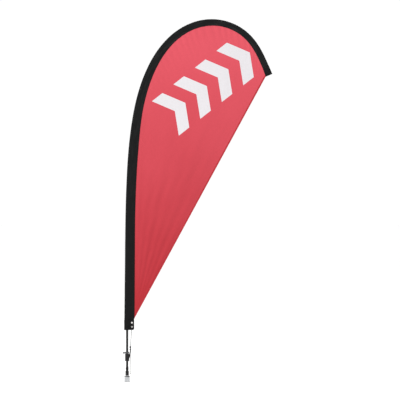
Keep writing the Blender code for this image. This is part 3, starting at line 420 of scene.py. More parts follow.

# %% Shared effect: dulling by weather, and painted highlights on the sleeve
weather_and_highlight_group, given, wanted = new_group("weathering_and_highlights", {"Vector": None, "Scale": 14.0, "Share": 0.4},
                                         ("Mask",))
cloud = put(weather_and_highlight_group, "ShaderNodeTexNoise", {"Vector": given["Vector"], "Scale": given["Scale"],
                                                  "Detail": 6.0, "Roughness": 0.65, "Distortion": 0.4})
edge = put(weather_and_highlight_group, "ShaderNodeMapRange",
           {"Value": cloud.outputs[0], "From Min": maths(weather_and_highlight_group, "SUBTRACT", 1.0, given["Share"]),
            "From Max": 1.0, "To Min": 0.0, "To Max": 1.0}, interpolation_type="SMOOTHSTEP")
weather_and_highlight_group.links.new(edge.outputs[0], wanted["Mask"])
print("group:", weather_and_highlight_group.name)


# %% Helpers that build one finish
def start_finish(name, from_cloth):
    """A new material, its shader, and the coordinates that its patterns read."""
    material = bpy.data.materials.new(name)
    material.use_nodes = True
    tree = material.node_tree
    if from_cloth:
        vector = put(tree, "ShaderNodeUVMap", {}, uv_map="flat").outputs[0]
    else:
        vector = put(tree, "ShaderNodeTexCoord", {}).outputs["Object"]
    return material, tree, tree.nodes["Principled BSDF"], vector


def place_group(tree, group, vector, **values):
    return put(tree, "ShaderNodeGroup", {"Vector": vector, **values}, node_tree=group).outputs


def add_bump(tree, shader, height, distance, strength=1.0):
    bump = put(tree, "ShaderNodeBump", {"Strength": strength, "Distance": distance, "Height": height})
    tree.links.new(bump.outputs[0], shader.inputs["Normal"])


def spread(tree, value, low, high):
    """Stretches a mask from 0 and 1 to low and high."""
    return put(tree, "ShaderNodeMapRange", {"Value": value, "To Min": low, "To Max": high}).outputs[0]


def rgb(red, green, blue):
    return (red, green, blue, 1.0)


# %% [markdown]
# ## Cloth finishes
# The flag is knitted polyester with the print dyed into it, so the colour has no edge to feel and shows
# on both sides. The print is four plain chevrons on a slanted line. They are worked out from the cloth's
# flat map: distance along the line gives which chevron, and distance across it bends the bar.

# %% Flag cloth with its print
PRINT_SLANT = math.radians(38)
PRINT_START = (0.289, 1.628)      # middle of the first chevron, across and up the flag
PRINT_STEP = 0.1637
PRINT_COUNT = 4
PRINT_HALF_HEIGHT = 0.131
PRINT_BAR = 0.080
PRINT_FOLD = 0.55                 # how far each arm runs back for its height
# Between these heights the red is painted lighter upwards and darker towards the foot: painted light from
# above.
PAINTED_LIGHT_FROM, PAINTED_LIGHT_TO = 0.50, 2.05
RED_LOW, RED_HIGH = rgb(0.385, 0.018, 0.026), rgb(0.625, 0.077, 0.104)
# Painted shade between the threads of the weave: a darker red that the thread pattern mixes into the cloth.
RED_PAINTED_THREAD_SHADE = rgb(0.24, 0.012, 0.018)
PRINT_WHITE = rgb(0.66, 0.66, 0.68)


def chevron_mask(tree, flat):
    """1 on the printed chevrons and 0 elsewhere."""
    calc = functools.partial(maths, tree)
    cosine, sine = math.cos(PRINT_SLANT), math.sin(PRINT_SLANT)
    split = put(tree, "ShaderNodeSeparateXYZ", {0: flat})
    x = calc("SUBTRACT", split.outputs["X"], PRINT_START[0])
    z = calc("SUBTRACT", split.outputs["Y"], PRINT_START[1])
    along = calc("MULTIPLY_ADD", x, cosine, calc("MULTIPLY", z, sine))
    across = calc("ABSOLUTE", calc("MULTIPLY_ADD", z, cosine, calc("MULTIPLY", x, -sine)))
    run_back = calc("SUBTRACT", along, PRINT_FOLD * PRINT_HALF_HEIGHT / 2)
    folded = calc("MULTIPLY_ADD", across, PRINT_FOLD, run_back)
    count = calc("ADD", calc("DIVIDE", folded, PRINT_STEP), 0.5)
    off_middle = calc("ABSOLUTE", calc("SUBTRACT", calc("FRACT", count), 0.5))
    inside = calc("LESS_THAN", off_middle, PRINT_BAR / PRINT_STEP / 2)
    for test in (calc("GREATER_THAN", count, 0.0), calc("LESS_THAN", count, PRINT_COUNT),
                 calc("LESS_THAN", across, PRINT_HALF_HEIGHT)):
        inside = calc("MULTIPLY", inside, test)
    return inside


def flag_cloth():
    material, tree, shader, flat = start_finish("flag_cloth", from_cloth=True)
    threads = place_group(tree, weave_group, flat, Pitch=0.0011, Slant=0.35)
    # Painted light from above: the red grows lighter with height on the flag, and random patches of tone lie
    # over it.
    rise = put(tree, "ShaderNodeSeparateXYZ", {0: flat}).outputs["Y"]
    share = put(tree, "ShaderNodeMapRange", {"Value": rise, "From Min": PAINTED_LIGHT_FROM, "From Max": PAINTED_LIGHT_TO})
    share = share.outputs[0]
    patches = put(tree, "ShaderNodeTexNoise", {"Vector": flat, "Scale": 2.2, "Detail": 2.0}).outputs[0]
    uneven = maths(tree, "MULTIPLY_ADD", patches, 0.30, maths(tree, "SUBTRACT", share, 0.15))
    red = blend_colors(tree, uneven, RED_LOW, RED_HIGH)
    dyed = blend_colors(tree, chevron_mask(tree, flat), red, PRINT_WHITE)
    # Painted shade between the threads.
    shaded = blend_colors(tree, spread(tree, threads["Tone"], 0.0, 0.16), dyed, RED_PAINTED_THREAD_SHADE)
    fill(tree, shader, {"Base Color": shaded, "Roughness": spread(tree, threads["Tone"], 0.50, 0.68),
                        "Sheen Weight": 0.03, "Specular IOR Level": 0.18})
    add_bump(tree, shader, threads["Height"], 0.00012, 0.7)
    return material


FLAG_CLOTH = flag_cloth()
print("finish:", FLAG_CLOTH.name)


# %% [markdown]
# Sleeve, webbing, thread and cord are all woven too. They differ in how coarse the threads are, how much
# light the fibres catch, and how far the colour wanders, so one function makes them all.

# %% Plain woven finishes
def woven_finish(name, dark, light, pitch, slant, depth, rough, sheen, wear_and_highlight=None, painted_highlight_streaks=False):
    """A woven finish with worn patches. On the sleeve these are painted fold highlights instead: slanting
    lines, painted lighter further up the pole as light from above.
    """
    material, tree, shader, flat = start_finish(name, from_cloth=True)
    threads = place_group(tree, weave_group, flat, Pitch=pitch, Slant=slant)
    color = blend_colors(tree, threads["Tone"], dark, light)
    if wear_and_highlight:
        drawn = flat
        # On the sleeve the worn patches are drawn into slanting lines of painted highlight along its folds.
        if painted_highlight_streaks:
            drawn = put(tree, "ShaderNodeMapping", {"Vector": flat, "Rotation": (0, 0, 0.6),
                                                    "Scale": (1.2, 9, 1)}).outputs[0]
        mask = place_group(tree, weather_and_highlight_group, drawn, Scale=9.0, Share=0.62)["Mask"]
        # Painted light from above: the highlight is faint at the sleeve's foot and strong towards its crown.
        if painted_highlight_streaks:
            along = put(tree, "ShaderNodeSeparateXYZ", {0: flat}).outputs["X"]
            painted_light_up_pole = put(tree, "ShaderNodeMapRange", {"Value": along, "From Min": 0.8, "From Max": 2.0,
                                                    "To Min": 0.15, "To Max": 1.5})
            mask = maths(tree, "MULTIPLY", mask, painted_light_up_pole.outputs[0])
        color = blend_colors(tree, maths(tree, "MULTIPLY", mask, 0.6), color, wear_and_highlight)
    fill(tree, shader, {"Base Color": color, "Sheen Weight": sheen, "Specular IOR Level": 0.08,
                        "Roughness": spread(tree, threads["Tone"], rough + 0.06, rough - 0.06)})
    add_bump(tree, shader, threads["Height"], depth)
    return material


# The sleeve's lighter slanting lines are painted fold highlights, painted lighter up the pole as light from
# above.
SLEEVE_CLOTH = woven_finish("sleeve_cloth", rgb(0.0035, 0.0035, 0.0038), rgb(0.0105, 0.0108, 0.0110),
                            0.0012, 1.0, 0.00016, 0.78, 0.01, wear_and_highlight=rgb(0.030, 0.031, 0.031), painted_highlight_streaks=True)
WEBBING = woven_finish("cuff_webbing", rgb(0.0025, 0.0025, 0.0028), rgb(0.0115, 0.0115, 0.0120),
                       0.0019, 0.0, 0.00035, 0.82, 0.01, wear_and_highlight=rgb(0.017, 0.017, 0.017))
# The hem is a darker red than the flag: painted shade along its folded edge.
HEM_CLOTH = woven_finish("hem_cloth", rgb(0.29, 0.014, 0.020), rgb(0.48, 0.032, 0.043),
                         0.0011, 0.35, 0.00014, 0.62, 0.03)
CORD_BRAID = woven_finish("cord_braid", rgb(0.013, 0.013, 0.014), rgb(0.042, 0.042, 0.044),
                          0.0011, 1.0, 0.00022, 0.80, 0.05, wear_and_highlight=rgb(0.060, 0.058, 0.054))


def thread_finish(name, dark, light):
    """Twisted thread: fine slanting ridges, read from the piece's own place."""
    material, tree, shader, place = start_finish(name, from_cloth=False)
    twist = place_group(tree, grain_group, place, Scale=2600.0, Patches=240.0)
    fill(tree, shader, {"Base Color": blend_colors(tree, twist["Tone"], dark, light),
                        "Roughness": spread(tree, twist["Tone"], 0.45, 0.65)})
    add_bump(tree, shader, twist["Height"], 0.00008)
    return material


BLACK_THREAD = thread_finish("black_thread", rgb(0.006, 0.006, 0.007), rgb(0.026, 0.026, 0.027))
RED_THREAD = thread_finish("red_thread", rgb(0.20, 0.012, 0.018), rgb(0.36, 0.022, 0.032))
print("woven finishes:", [m.name for m in (SLEEVE_CLOTH, WEBBING, HEM_CLOTH, CORD_BRAID)])


# %% [markdown]
# ## Hard finishes
# Zinc has spangles, machined steel has rings round its axis, moulded plastic has a matt grain, and a
# glass-fibre rod shows its long fibres. One function covers grain and dulling, and the two metals with a
# pattern of their own add it.

# %% Plastic, rubber, tube and metal finishes
def hard_finish(name, dark, light, rough_low, rough_high, metallic=0.0, grain=900.0, patches=30.0,
                stretch=(1, 1, 1), depth=0.00005, dull=None, dull_share=0.45, spangle=False, shine=0.5):
    """A hard surface. stretch draws its grain out, and spangle lays zinc crystals over it."""
    material, tree, shader, place = start_finish(name, from_cloth=False)
    pulled = put(tree, "ShaderNodeMapping", {"Vector": place, "Scale": stretch}).outputs[0]
    marks = place_group(tree, grain_group, pulled, Scale=grain, Patches=patches)
    tone = marks["Tone"]
    if spangle:
        cells = put(tree, "ShaderNodeTexVoronoi", {"Vector": place, "Scale": 420.0}, feature="F1")
        grey = put(tree, "ShaderNodeSeparateColor", {0: cells.outputs["Color"]}).outputs[0]
        tone = maths(tree, "MULTIPLY_ADD", grey, 0.35, maths(tree, "MULTIPLY", tone, 0.65))
    color = blend_colors(tree, tone, dark, light)
    roughness = spread(tree, tone, rough_high, rough_low)
    if dull:
        mask = place_group(tree, weather_and_highlight_group, place, Scale=26.0, Share=dull_share)["Mask"]
        color = blend_colors(tree, maths(tree, "MULTIPLY", mask, 0.7), color, dull)
        roughness = maths(tree, "MULTIPLY_ADD", mask, 0.18, roughness)
    fill(tree, shader, {"Base Color": color, "Roughness": roughness, "Metallic": metallic,
                        "Specular IOR Level": shine})
    add_bump(tree, shader, marks["Height"], depth)
    return material


ZINC = hard_finish("galvanised_zinc", rgb(0.32, 0.33, 0.34), rgb(0.64, 0.65, 0.66), 0.32, 0.52, 1.0,
                   grain=700.0, dull=rgb(0.28, 0.27, 0.25), spangle=True, depth=0.00006)
TURNED_STEEL = hard_finish("turned_steel", rgb(0.52, 0.53, 0.54), rgb(0.82, 0.83, 0.84), 0.16, 0.34, 1.0,
                           grain=220.0, patches=60.0, stretch=(0.4, 0.4, 9.0), depth=0.00002,
                           dull=rgb(0.46, 0.45, 0.43), dull_share=0.40)
BRASS = hard_finish("worn_brass", rgb(0.46, 0.33, 0.13), rgb(0.76, 0.58, 0.27), 0.26, 0.42, 1.0,
                    grain=1400.0, patches=300.0, depth=0.00002)
NICKEL = hard_finish("pressed_nickel", rgb(0.62, 0.61, 0.58), rgb(0.86, 0.85, 0.82), 0.14, 0.30, 1.0,
                     grain=1600.0, patches=260.0, depth=0.00002, dull=rgb(0.50, 0.47, 0.42))
CLAMP_STEEL = hard_finish("oiled_clamp_steel", rgb(0.055, 0.055, 0.058), rgb(0.150, 0.150, 0.155),
                          0.30, 0.50, 1.0, grain=900.0, patches=180.0, depth=0.00002,
                          dull=rgb(0.085, 0.075, 0.062))
PLASTIC = hard_finish("moulded_nylon", rgb(0.0035, 0.0035, 0.0038), rgb(0.0095, 0.0095, 0.0100), 0.42, 0.60,
                      grain=1500.0, patches=60.0, depth=0.00006, dull=rgb(0.018, 0.0175, 0.0165), shine=0.25)
TUBE = hard_finish("painted_tube", rgb(0.0035, 0.0035, 0.0038), rgb(0.0085, 0.0085, 0.0090), 0.26, 0.42,
                   grain=500.0, patches=40.0, stretch=(6, 6, 0.5), depth=0.00002,
                   dull=rgb(0.020, 0.0195, 0.0185), dull_share=0.36, shine=0.3)
FIBRE_ROD = hard_finish("glass_fibre", rgb(0.010, 0.010, 0.011), rgb(0.038, 0.038, 0.039), 0.34, 0.50,
                        grain=900.0, patches=120.0, stretch=(5, 5, 0.25), depth=0.00004)
RUBBER = hard_finish("moulded_rubber", rgb(0.009, 0.009, 0.009), rgb(0.024, 0.024, 0.023), 0.70, 0.88,
                     grain=1100.0, patches=90.0, depth=0.00005)
print("finishes:", [material.name for material in bpy.data.materials])

# %% Finishes of the parts that stay as the model has them
KEPT_FINISHES = {
    TURNED_STEEL: ("lower_outer_race", "upper_outer_race", "lower_inner_race", "upper_inner_race",
                   "bearing_spacer", "spindle_circlip", "lower_joint_collar", "upper_joint_collar"),
    BRASS: ("lower_ball_cage", "upper_ball_cage"),
    FIBRE_ROD: ("pole_middle", "pole_tip"),
    RUBBER: ("tip_cap",),
}
for finish, nodes in KEPT_FINISHES.items():
    for node in nodes:
        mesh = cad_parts[node].data
        mesh.materials.clear()
        mesh.materials.append(finish)
print("kept parts:", sum(len(nodes) for nodes in KEPT_FINISHES.values()))

# %% [markdown]
# ## Cord
# One length of thin braided cord ties the flag down. It leaves the lower eyelet, runs down to the hook and
# takes two turns round its arm, and the spare end hangs beside the pole. The run between eyelet and hook
# belongs to both, so it is given to neither body and stays where it is laid.

# %% Cord routes
CORD_RADIUS = 0.0015
CORD_ROUTE = ((0.0285, 0.0026, 0.3310), (0.0285, -0.0030, 0.3308), (0.0283, -0.0075, 0.3285),
              (0.0277, -0.0096, 0.3220), (0.0266, -0.0099, 0.3080), (0.0246, -0.0096, 0.2800),
              (0.0224, -0.0090, 0.2480), (0.0205, -0.0084, 0.2215), (0.0198, -0.0080, 0.2110),
              (0.0196, -0.0076, 0.2050), (0.0195, -0.0068, 0.2000))
TAIL_ROUTE = ((0.0194, -0.0078, 0.1960), (0.0193, -0.0097, 0.1954), (0.0191, -0.0111, 0.1915),
              (0.0190, -0.0114, 0.1740), (0.0193, -0.0113, 0.1500), (0.0189, -0.0110, 0.1200),
              (0.0187, -0.0109, 0.0900), (0.0188, -0.0110, 0.0640), (0.0188, -0.0110, 0.0525))
HITCH_PLACE = Vector((0.0195, 0, 0.1965))
HITCH_RADIUS, HITCH_RISE = 0.0050, 0.0028

# %% Cord between eyelet and hook
cord_points, cord_length = smooth_route(CORD_ROUTE, 0.0012)
tension_cord = add_piece("tension_cord_braid", sweep(bmesh.new(), cord_points, CORD_RADIUS, 14), CORD_BRAID,
                         None, ["tension_cord"])
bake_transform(tension_cord)
print("cord:", round(cord_length, 4), "m")

# %% Knots and the turns round the hook
def trefoil(centre, size, thick):
    """The simplest knot, as a closed tube round a three-lobed loop."""
    loop = []
    for index in range(72):
        t = math.tau * index / 72
        loop.append(Vector(centre) + Vector((math.sin(t) + 2 * math.sin(2 * t), -math.sin(3 * t) * 1.1,
                                             math.cos(t) - 2 * math.cos(2 * t))) * size / 3)
    return sweep(bmesh.new(), loop + loop[:1], thick, 10)


stopper_low, stopper_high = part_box("stopper_knot")
tail_low, tail_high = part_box("tail_knot")
add_piece("stopper_knot_tied", trefoil((stopper_low + stopper_high) / 2, 0.0029, 0.0014), CORD_BRAID, "pole",
          ["stopper_knot"])
tail_knot = add_piece("tail_knot_tied", trefoil((tail_low + tail_high) / 2, 0.0021, 0.0012), CORD_BRAID,
                      "collar", ["tail_knot"])
turns_round = []
for index in range(97):
    turn = math.tau * 2 * index / 96 - math.pi / 2
    turns_round.append(HITCH_PLACE + Vector((HITCH_RADIUS * math.cos(turn), HITCH_RADIUS * math.sin(turn),
                                             HITCH_RISE * (0.5 - index / 96))))
add_piece("cord_hitch_turns", sweep(bmesh.new(), turns_round, CORD_RADIUS, 12), CORD_BRAID, "collar",
          ["cord_hitch"])

# %% Spare end of the cord
tail_points, tail_length = smooth_route(TAIL_ROUTE, 0.0012)
cord_tail = add_piece("cord_tail_braid", sweep(bmesh.new(), tail_points, CORD_RADIUS, 14), CORD_BRAID,
                      "collar", ["cord_tail"])
print("spare end:", round(tail_length, 4), "m")

# %% [markdown]
# ## Sleeve
# The sleeve is a long cloth tunnel: a round nose holds the pole, and its two layers taper to a flat seam
# that grips the flag. It is narrow where the pole bends most. A grid is laid round that section at each
# step along the pole. Tight bends gather the cloth on their inner side, so slanting wrinkles are added
# there, and the slack foot gets a few soft folds.

# %% Sleeve sizes
SLEEVE_FOOT, SLEEVE_HEAD, POCKET_END = 0.372, 2.866, 2.923
SLEEVE_WALL, POCKET_WALL, CUFF_WALL = 0.0006, 0.0012, 0.0016
SEAM_HALF = 0.0010
FACET = 1 / math.cos(math.pi / 12)       # a polygon's corners stand this much farther out than its sides
SLEEVE_WIDTHS = ((0.372, 0.0620), (0.95, 0.0590), (1.40, 0.0600), (1.65, 0.0535), (2.00, 0.0490),
                 (2.45, 0.0390), (2.75, 0.0395), (SLEEVE_HEAD, 0.0400), (POCKET_END, 0.0440))
SLEEVE_ROOMS = ((0.953, 0.0082), (1.933, 0.0067), (SLEEVE_HEAD, 0.0046))
SLEEVE_SLACKS = ((SLEEVE_FOOT, 0.0085), (1.200, 0.0))
TUCK_FOOT, TUCK_HEAD = 0.010, 0.006      # cloth hidden under the cuff and the pocket
CUFF_FOOT, CUFF_TOP = 0.312, 0.3717
TAB_EDGE, TAB_HALF, TAB_CORNER, TAB_SHARE = 0.0420, 0.0017, 0.009, 0.22
POUCH_EDGE, CUFF_NOSE = 0.0165, 0.0085
CUFF_ROOM = 0.0082 + CUFF_WALL
PINCH_HEIGHT = 0.016                     # where the sleeve flattens into the cuff


@functools.lru_cache(maxsize=None)
def along_pairs(pairs, at):
    return float(np.interp(at, [pair[0] for pair in pairs], [pair[1] for pair in pairs]))


def bend_share(at):
    """How hard the pole bends at a distance along it, from 0 where straight to 1 at the crown."""
    return min(float(np.interp(at, bend_at, bend_of)) / 3.0, 1.0)


def sleeve_edge(at):
    """How far the seam's outer edge lies from the pole's axis."""
    room = along_pairs(SLEEVE_ROOMS, at)
    if at >= SLEEVE_HEAD:
        return along_pairs(SLEEVE_WIDTHS, at) - (room + POCKET_WALL) * FACET
    return along_pairs(SLEEVE_WIDTHS, at) - (room + SLEEVE_WALL) * FACET - along_pairs(SLEEVE_SLACKS, at)


@functools.lru_cache(maxsize=None)
def section_line(radius, nose, edge, half):
    """The teardrop section as a fine line, with the distance to each of its points."""
    tangent = math.acos(min(radius / edge, 1))
    arc = [math.pi / 2 + math.pi * step / 24 for step in range(25)]
    entry = [tangent + (math.pi / 2 - tangent) * step / 6 for step in range(7)]
    outline = [(edge, half)] + [(radius * math.cos(a), radius * math.sin(a)) for a in entry]
    outline += [(-nose + radius * math.cos(a), radius * math.sin(a)) for a in arc]
    outline += [(radius * math.cos(a), -radius * math.sin(a)) for a in reversed(entry)] + [(edge, -half)]
    line = np.array(outline)
    steps = np.linalg.norm(np.diff(line, axis=0), axis=1)
    return line[:, 0], line[:, 1], np.concatenate([[0.0], np.cumsum(steps)])


def teardrop(share, radius, nose, edge, half):
    """A point and outward direction round the section, from the seam's one face to its other."""
    xs, ys, along = section_line(radius, nose, edge, half)
    reach = share * along[-1]
    near = (reach, reach + 0.001, reach - 0.001)
    nearby = zip(np.interp(near, along, xs), np.interp(near, along, ys))
    spot, ahead, behind = (Vector(pair) for pair in nearby)
    course = (ahead - behind).normalized()
    return spot, Vector((course.y, -course.x)) * -1


print("seam at the foot:", round(sleeve_edge(SLEEVE_FOOT), 4), "m from the pole's axis")


# %% Sleeve
def wrinkle(at, share):
    """How far the cloth stands off its smooth shape: gathers in the bends and folds in the slack foot."""
    bend = bend_share(at)
    inward = 1 - abs(2 * share - 1)
    slant = at * 1.0 + (0.5 - abs(share - 0.5)) * 0.045
    uneven = noise.noise(Vector((at * 9, share * 2.5, 3.1)))
    gathers = math.sin(math.tau * slant / 0.031 + 2.5 * uneven) ** 3 * (0.35 + 0.65 * uneven)
    loose = max(0.0, 1 - (at - SLEEVE_FOOT) / 0.9)
    folds = noise.noise(Vector((at * 7 + share * 3, share * 5, 8.4))) * 0.0012 * loose
    grip = min(1.0, share * 9, (1 - share) * 9)
    return (abs(gathers) * 0.0023 * bend * (1 - 0.3 * inward) + abs(folds)
            + abs(noise.noise(Vector((at * 24, share * 6, 0)))) * 0.0004) * grip


def tabbed(v, tab, reach, room, half):
    """The cuff's section: a pouch round the pole and a flat tab that ends at reach."""
    if tab < v < 1 - tab:
        return teardrop((v - tab) / (1 - 2 * tab), room, CUFF_NOSE, POUCH_EDGE, half)
    side = 1 if v < 0.5 else -1
    share = min(v, 1 - v) / tab
    return Vector((reach + (POUCH_EDGE - reach) * share, side * half)), Vector((0, side))


def sleeve_place(u, v):
    at = SLEEVE_LOW + (SLEEVE_UP - SLEEVE_LOW) * u
    room = along_pairs(SLEEVE_ROOMS, at) + SLEEVE_WALL
    spot, out = teardrop(v, room, along_pairs(SLEEVE_SLACKS, at), sleeve_edge(at), SEAM_HALF)
    spot = spot + out * wrinkle(at, v)
    pinch = clamped((SLEEVE_FOOT + PINCH_HEIGHT - at) / PINCH_HEIGHT)
    if pinch:
        tucked, _ = tabbed(v, TAB_SHARE, TAB_EDGE - 0.0008, CUFF_ROOM - 0.0008, TAB_HALF - 0.0006)
        spot = spot.lerp(tucked, eased(pinch))
    point, inward = pole_frame(at)
    return point + inward * spot.x + Vector((0, spot.y, 0))


SLEEVE_LOW, SLEEVE_UP = SLEEVE_FOOT - TUCK_FOOT, SLEEVE_HEAD + TUCK_HEAD
SLEEVE_GIRTH = 0.105
sleeve_bm = sheet_grid(620, 46, sleeve_place,
                       lambda u, v: (SLEEVE_LOW + (SLEEVE_UP - SLEEVE_LOW) * u, v * SLEEVE_GIRTH))
sleeve = add_piece("pole_sleeve_cloth", sleeve_bm, SLEEVE_CLOTH, "pole", ["pole_sleeve"],
                   smooth=80)


def add_wall(piece, thickness, offset):
    wall = piece.modifiers.new("cloth_wall", "SOLIDIFY")
    wall.thickness, wall.offset = thickness, offset


add_wall(sleeve, SLEEVE_WALL, -1)
print("sleeve girth:", SLEEVE_GIRTH, "m at the most")

# %% Stitches along the seam
def seam_rows(foot, head, insets, half, step=0.006):
    """Rows of stitches on both faces of a seam, a set way in from its outer edge."""
    bm = bmesh.new()
    count = int((head - foot) / step)
    for inset in insets:
        for side in (-1, 1):
            row = []
            for index in range(count + 1):
                at = foot + (head - foot) * index / count
                point, inward = pole_frame(at)
                rise = half + (inset / 0.007) * 0.0003
                row.append(point + inward * (sleeve_edge(at) - inset) + Vector((0, side * rise, 0)))
            sew(bm, row, (0, side, 0))
    return bm


sleeve_thread_bm = seam_rows(SLEEVE_FOOT + PINCH_HEIGHT, SLEEVE_HEAD - 0.002, (0.0016, 0.0060), SEAM_HALF)
add_piece("sleeve_stitches", sleeve_thread_bm, BLACK_THREAD, "pole")

# %% [markdown]
# ## Flag
# The flag is pulled tight between the seam and its free edge, so it has no deep folds. Low ridges fan out
# from the foot along the pull of the cord, small puckers run off the seam where the cloth is gathered round
# the crown, and the middle is a little full. A simulation of cloth this taut gives a flat sheet or jitter,
# so the ridges are laid by a formula that dies away at the seam.

# %% Lines that bound the flag
PANEL_FOOT = SLEEVE_FOOT + 0.012
HEM_WIDTH, HEM_HALF = 0.008, 0.0012
CLOTH_WALL = 0.0008
SEAM_GRIP, HEM_GRIP = 0.003, 0.004       # how deep the cloth reaches into the seam and into the hem


def seam_line(at, inset=0.0):
    point, inward = pole_frame(at)
    return point + inward * (sleeve_edge(at) + 0.0003 - inset)


edge_foot, edge_head = seam_line(PANEL_FOOT), seam_line(POCKET_END)
edge_course = (edge_head - edge_foot).normalized()
edge_inward = Vector((-edge_course.z, 0, edge_course.x))
edge_length = (edge_head - edge_foot).length
print("free edge:", round(edge_length, 4), "m")


def ridge(x, z):
    """How far the cloth stands out of the flag's plane at a place on it."""
    spot = Vector((x, 0, z))
    reach = spot - edge_foot
    from_edge = reach.dot(edge_inward)
    up_edge = reach.dot(edge_course) / edge_length
    angle = math.atan2(from_edge, max(reach.dot(edge_course), 0.02))
    distance = reach.length
    low = max(0.0, 1 - up_edge) ** 0.8
    lines = math.sin(angle * 74 + 1.3 * noise.noise(spot * 2.3))
    lines += 0.6 * math.sin(angle * 41 + 2.1 + distance * 2)
    lines += 0.35 * math.sin(from_edge * 130 + 3 * noise.noise(spot * 3.1))
    uneven = 0.5 + 0.5 * noise.noise(spot * 2.9 + Vector((0, 7, 0)))
    fan = lines * 0.0022 * low * min(1.0, distance * 2.6) * uneven
    belly = 0.007 * math.sin(math.pi * clamped(up_edge)) * math.exp(-((from_edge - 0.16) / 0.17) ** 2)
    slow = 0.0035 * noise.noise(spot * 3.2) + 0.0014 * noise.noise(spot * 8.0)
    return fan - belly + slow


def pucker(at, depth):
    """Short gathers that run from the seam into the cloth, strongest round the crown."""
    bend = bend_share(at)
    wave = math.sin(math.tau * at / 0.047 + 4 * noise.noise(Vector((at * 5, 0, 1))))
    return wave * 0.0011 * (0.25 + bend) * math.exp(-depth / 0.055)


def flag_y(x, z, at, depth):
    """The cloth's height out of the plane, flat in the grip of the seam and freer away from it."""
    hold, close = eased(clamped(depth / 0.045)), clamped(depth / 0.006)
    return ridge(x, z) * hold + pucker(at, max(depth, 0.0)) * close


def chord_point(u, inset):
    """A point beside the free edge, from the foot to the head."""
    return edge_foot + edge_course * (edge_length * u) + edge_inward * inset


def panel_spot(u, v):
    """A place on the flat cloth, where along the pole it starts, and how far it is from the seam."""
    ease = u + 0.06 * math.sin(math.tau * u) / math.tau
    at = PANEL_FOOT + (POCKET_END - 0.004 - PANEL_FOOT) * u
    start, end = seam_line(at, SEAM_GRIP), chord_point(0.004 + 0.992 * ease, HEM_WIDTH - HEM_GRIP)
    spot = start.lerp(end, v)
    return spot, at, (spot - start).length - SEAM_GRIP


def panel_place(u, v):
    spot, at, depth = panel_spot(u, v)
    return spot + Vector((0, flag_y(spot.x, spot.z, at, depth), 0))


def panel_flat(u, v):
    spot = panel_spot(u, v)[0]
    return spot.x, spot.z


# %% Flag cloth
rows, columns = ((360, 118))
panel = add_piece("flag_panel_cloth", sheet_grid(rows, columns, panel_place, panel_flat), FLAG_CLOTH, "pole",
                  ["flag_panel"], smooth=80)
add_wall(panel, CLOTH_WALL, 0)

# %% Hem on the free edge
HEM_TUCK, HEM_TAPER = 0.005, 0.010        # the hem's ends thin down and go into the seam
HEM_FLAT = 0.42                           # share of the strip that lies flat on each face
HEM_STITCH_INSET = 0.0064
seam_up = (seam_line(PANEL_FOOT + 0.01) - edge_foot).normalized()
seam_down = (seam_line(POCKET_END - 0.01) - edge_head).normalized()
FOOT_SKEW = seam_up.dot(edge_course) / seam_up.dot(edge_inward)
HEAD_SKEW = seam_down.dot(edge_course) / seam_down.dot(edge_inward)


def hem_point(u, inset):
    """A point of the hem. Its ends are cut slanting, along the seam that they go into."""
    start = FOOT_SKEW * inset - HEM_TUCK
    end = edge_length + HEAD_SKEW * inset + HEM_TUCK
    return edge_foot + edge_course * (start + (end - start) * u) + edge_inward * inset


def hem_y(u):
    """The free edge follows the cloth beside it."""
    spot = hem_point(u, HEM_WIDTH)
    return ridge(spot.x, spot.z) * clamped(min(u, 1 - u) / 0.03)


def hem_half(u):
    return HEM_HALF * min(1.0, 0.3 + min(u, 1 - u) * edge_length / HEM_TAPER * 0.7)


def hem_place(u, v):
    """A strip folded round the edge: in along the front, round the fold and back along the rear."""
    fold = hem_half(u)
    turn = math.pi * clamped((v - HEM_FLAT) / (1 - 2 * HEM_FLAT))
    if v < HEM_FLAT:
        inset, lift = HEM_WIDTH - (HEM_WIDTH - fold) * v / HEM_FLAT, fold
    elif v > 1 - HEM_FLAT:
        inset, lift = fold + (HEM_WIDTH - fold) * (v - 1 + HEM_FLAT) / HEM_FLAT, -fold
    else:
        inset, lift = fold - fold * math.sin(turn), fold * math.cos(turn)
    spot = hem_point(u, inset)
    spot.y = hem_y(u) - lift
    return spot


hem = add_piece("leech_hem_fold", sheet_grid(rows, 26, hem_place,
                                             lambda u, v: (u * edge_length, v * 2 * HEM_WIDTH)),
                HEM_CLOTH, "pole", ["leech_hem"], smooth=80)
add_wall(hem, 0.0003, -1)
hem_thread_bm = bmesh.new()
for side in (-1, 1):
    row = []
    for u in np.linspace(0.008, 0.992, 280):
        spot = hem_point(u, HEM_STITCH_INSET)
        row.append(Vector((spot.x, hem_y(u) + side * (hem_half(u) + 0.00012), spot.z)))
    sew(hem_thread_bm, row, (0, side, 0), length=0.0028, gap=0.0012)
hem_thread = add_piece("hem_stitches", hem_thread_bm, RED_THREAD, "pole")

# %% [markdown]
# ## Cuff and tip pocket
# Both ends of the sleeve are bound with black webbing. The cuff has a flat tab for the two eyelets and a
# rounded corner. The pocket at the tip is folded flat and sewn shut, because the pole's end pushes on it.
# Each is the sleeve's own section again, thicker and with a coarse rib.

# %% Cuff
CUFF_GIRTH = 0.150


def cuff_place(u, v):
    at = CUFF_FOOT + (CUFF_TOP - CUFF_FOOT) * u
    lift = min((at - CUFF_FOOT) / TAB_CORNER, 1.0)
    reach = TAB_EDGE - TAB_CORNER * (1 - math.sqrt(1 - (1 - lift) ** 2))
    spot, out = tabbed(v, TAB_SHARE, reach, CUFF_ROOM, TAB_HALF)
    flat = not TAB_SHARE < v < 1 - TAB_SHARE
    crease = noise.noise(Vector((at * 60, v * 6, 2.0))) * 0.0003
    spot = spot + out * (0 if flat else crease)
    return Vector((spot.x, spot.y, at))


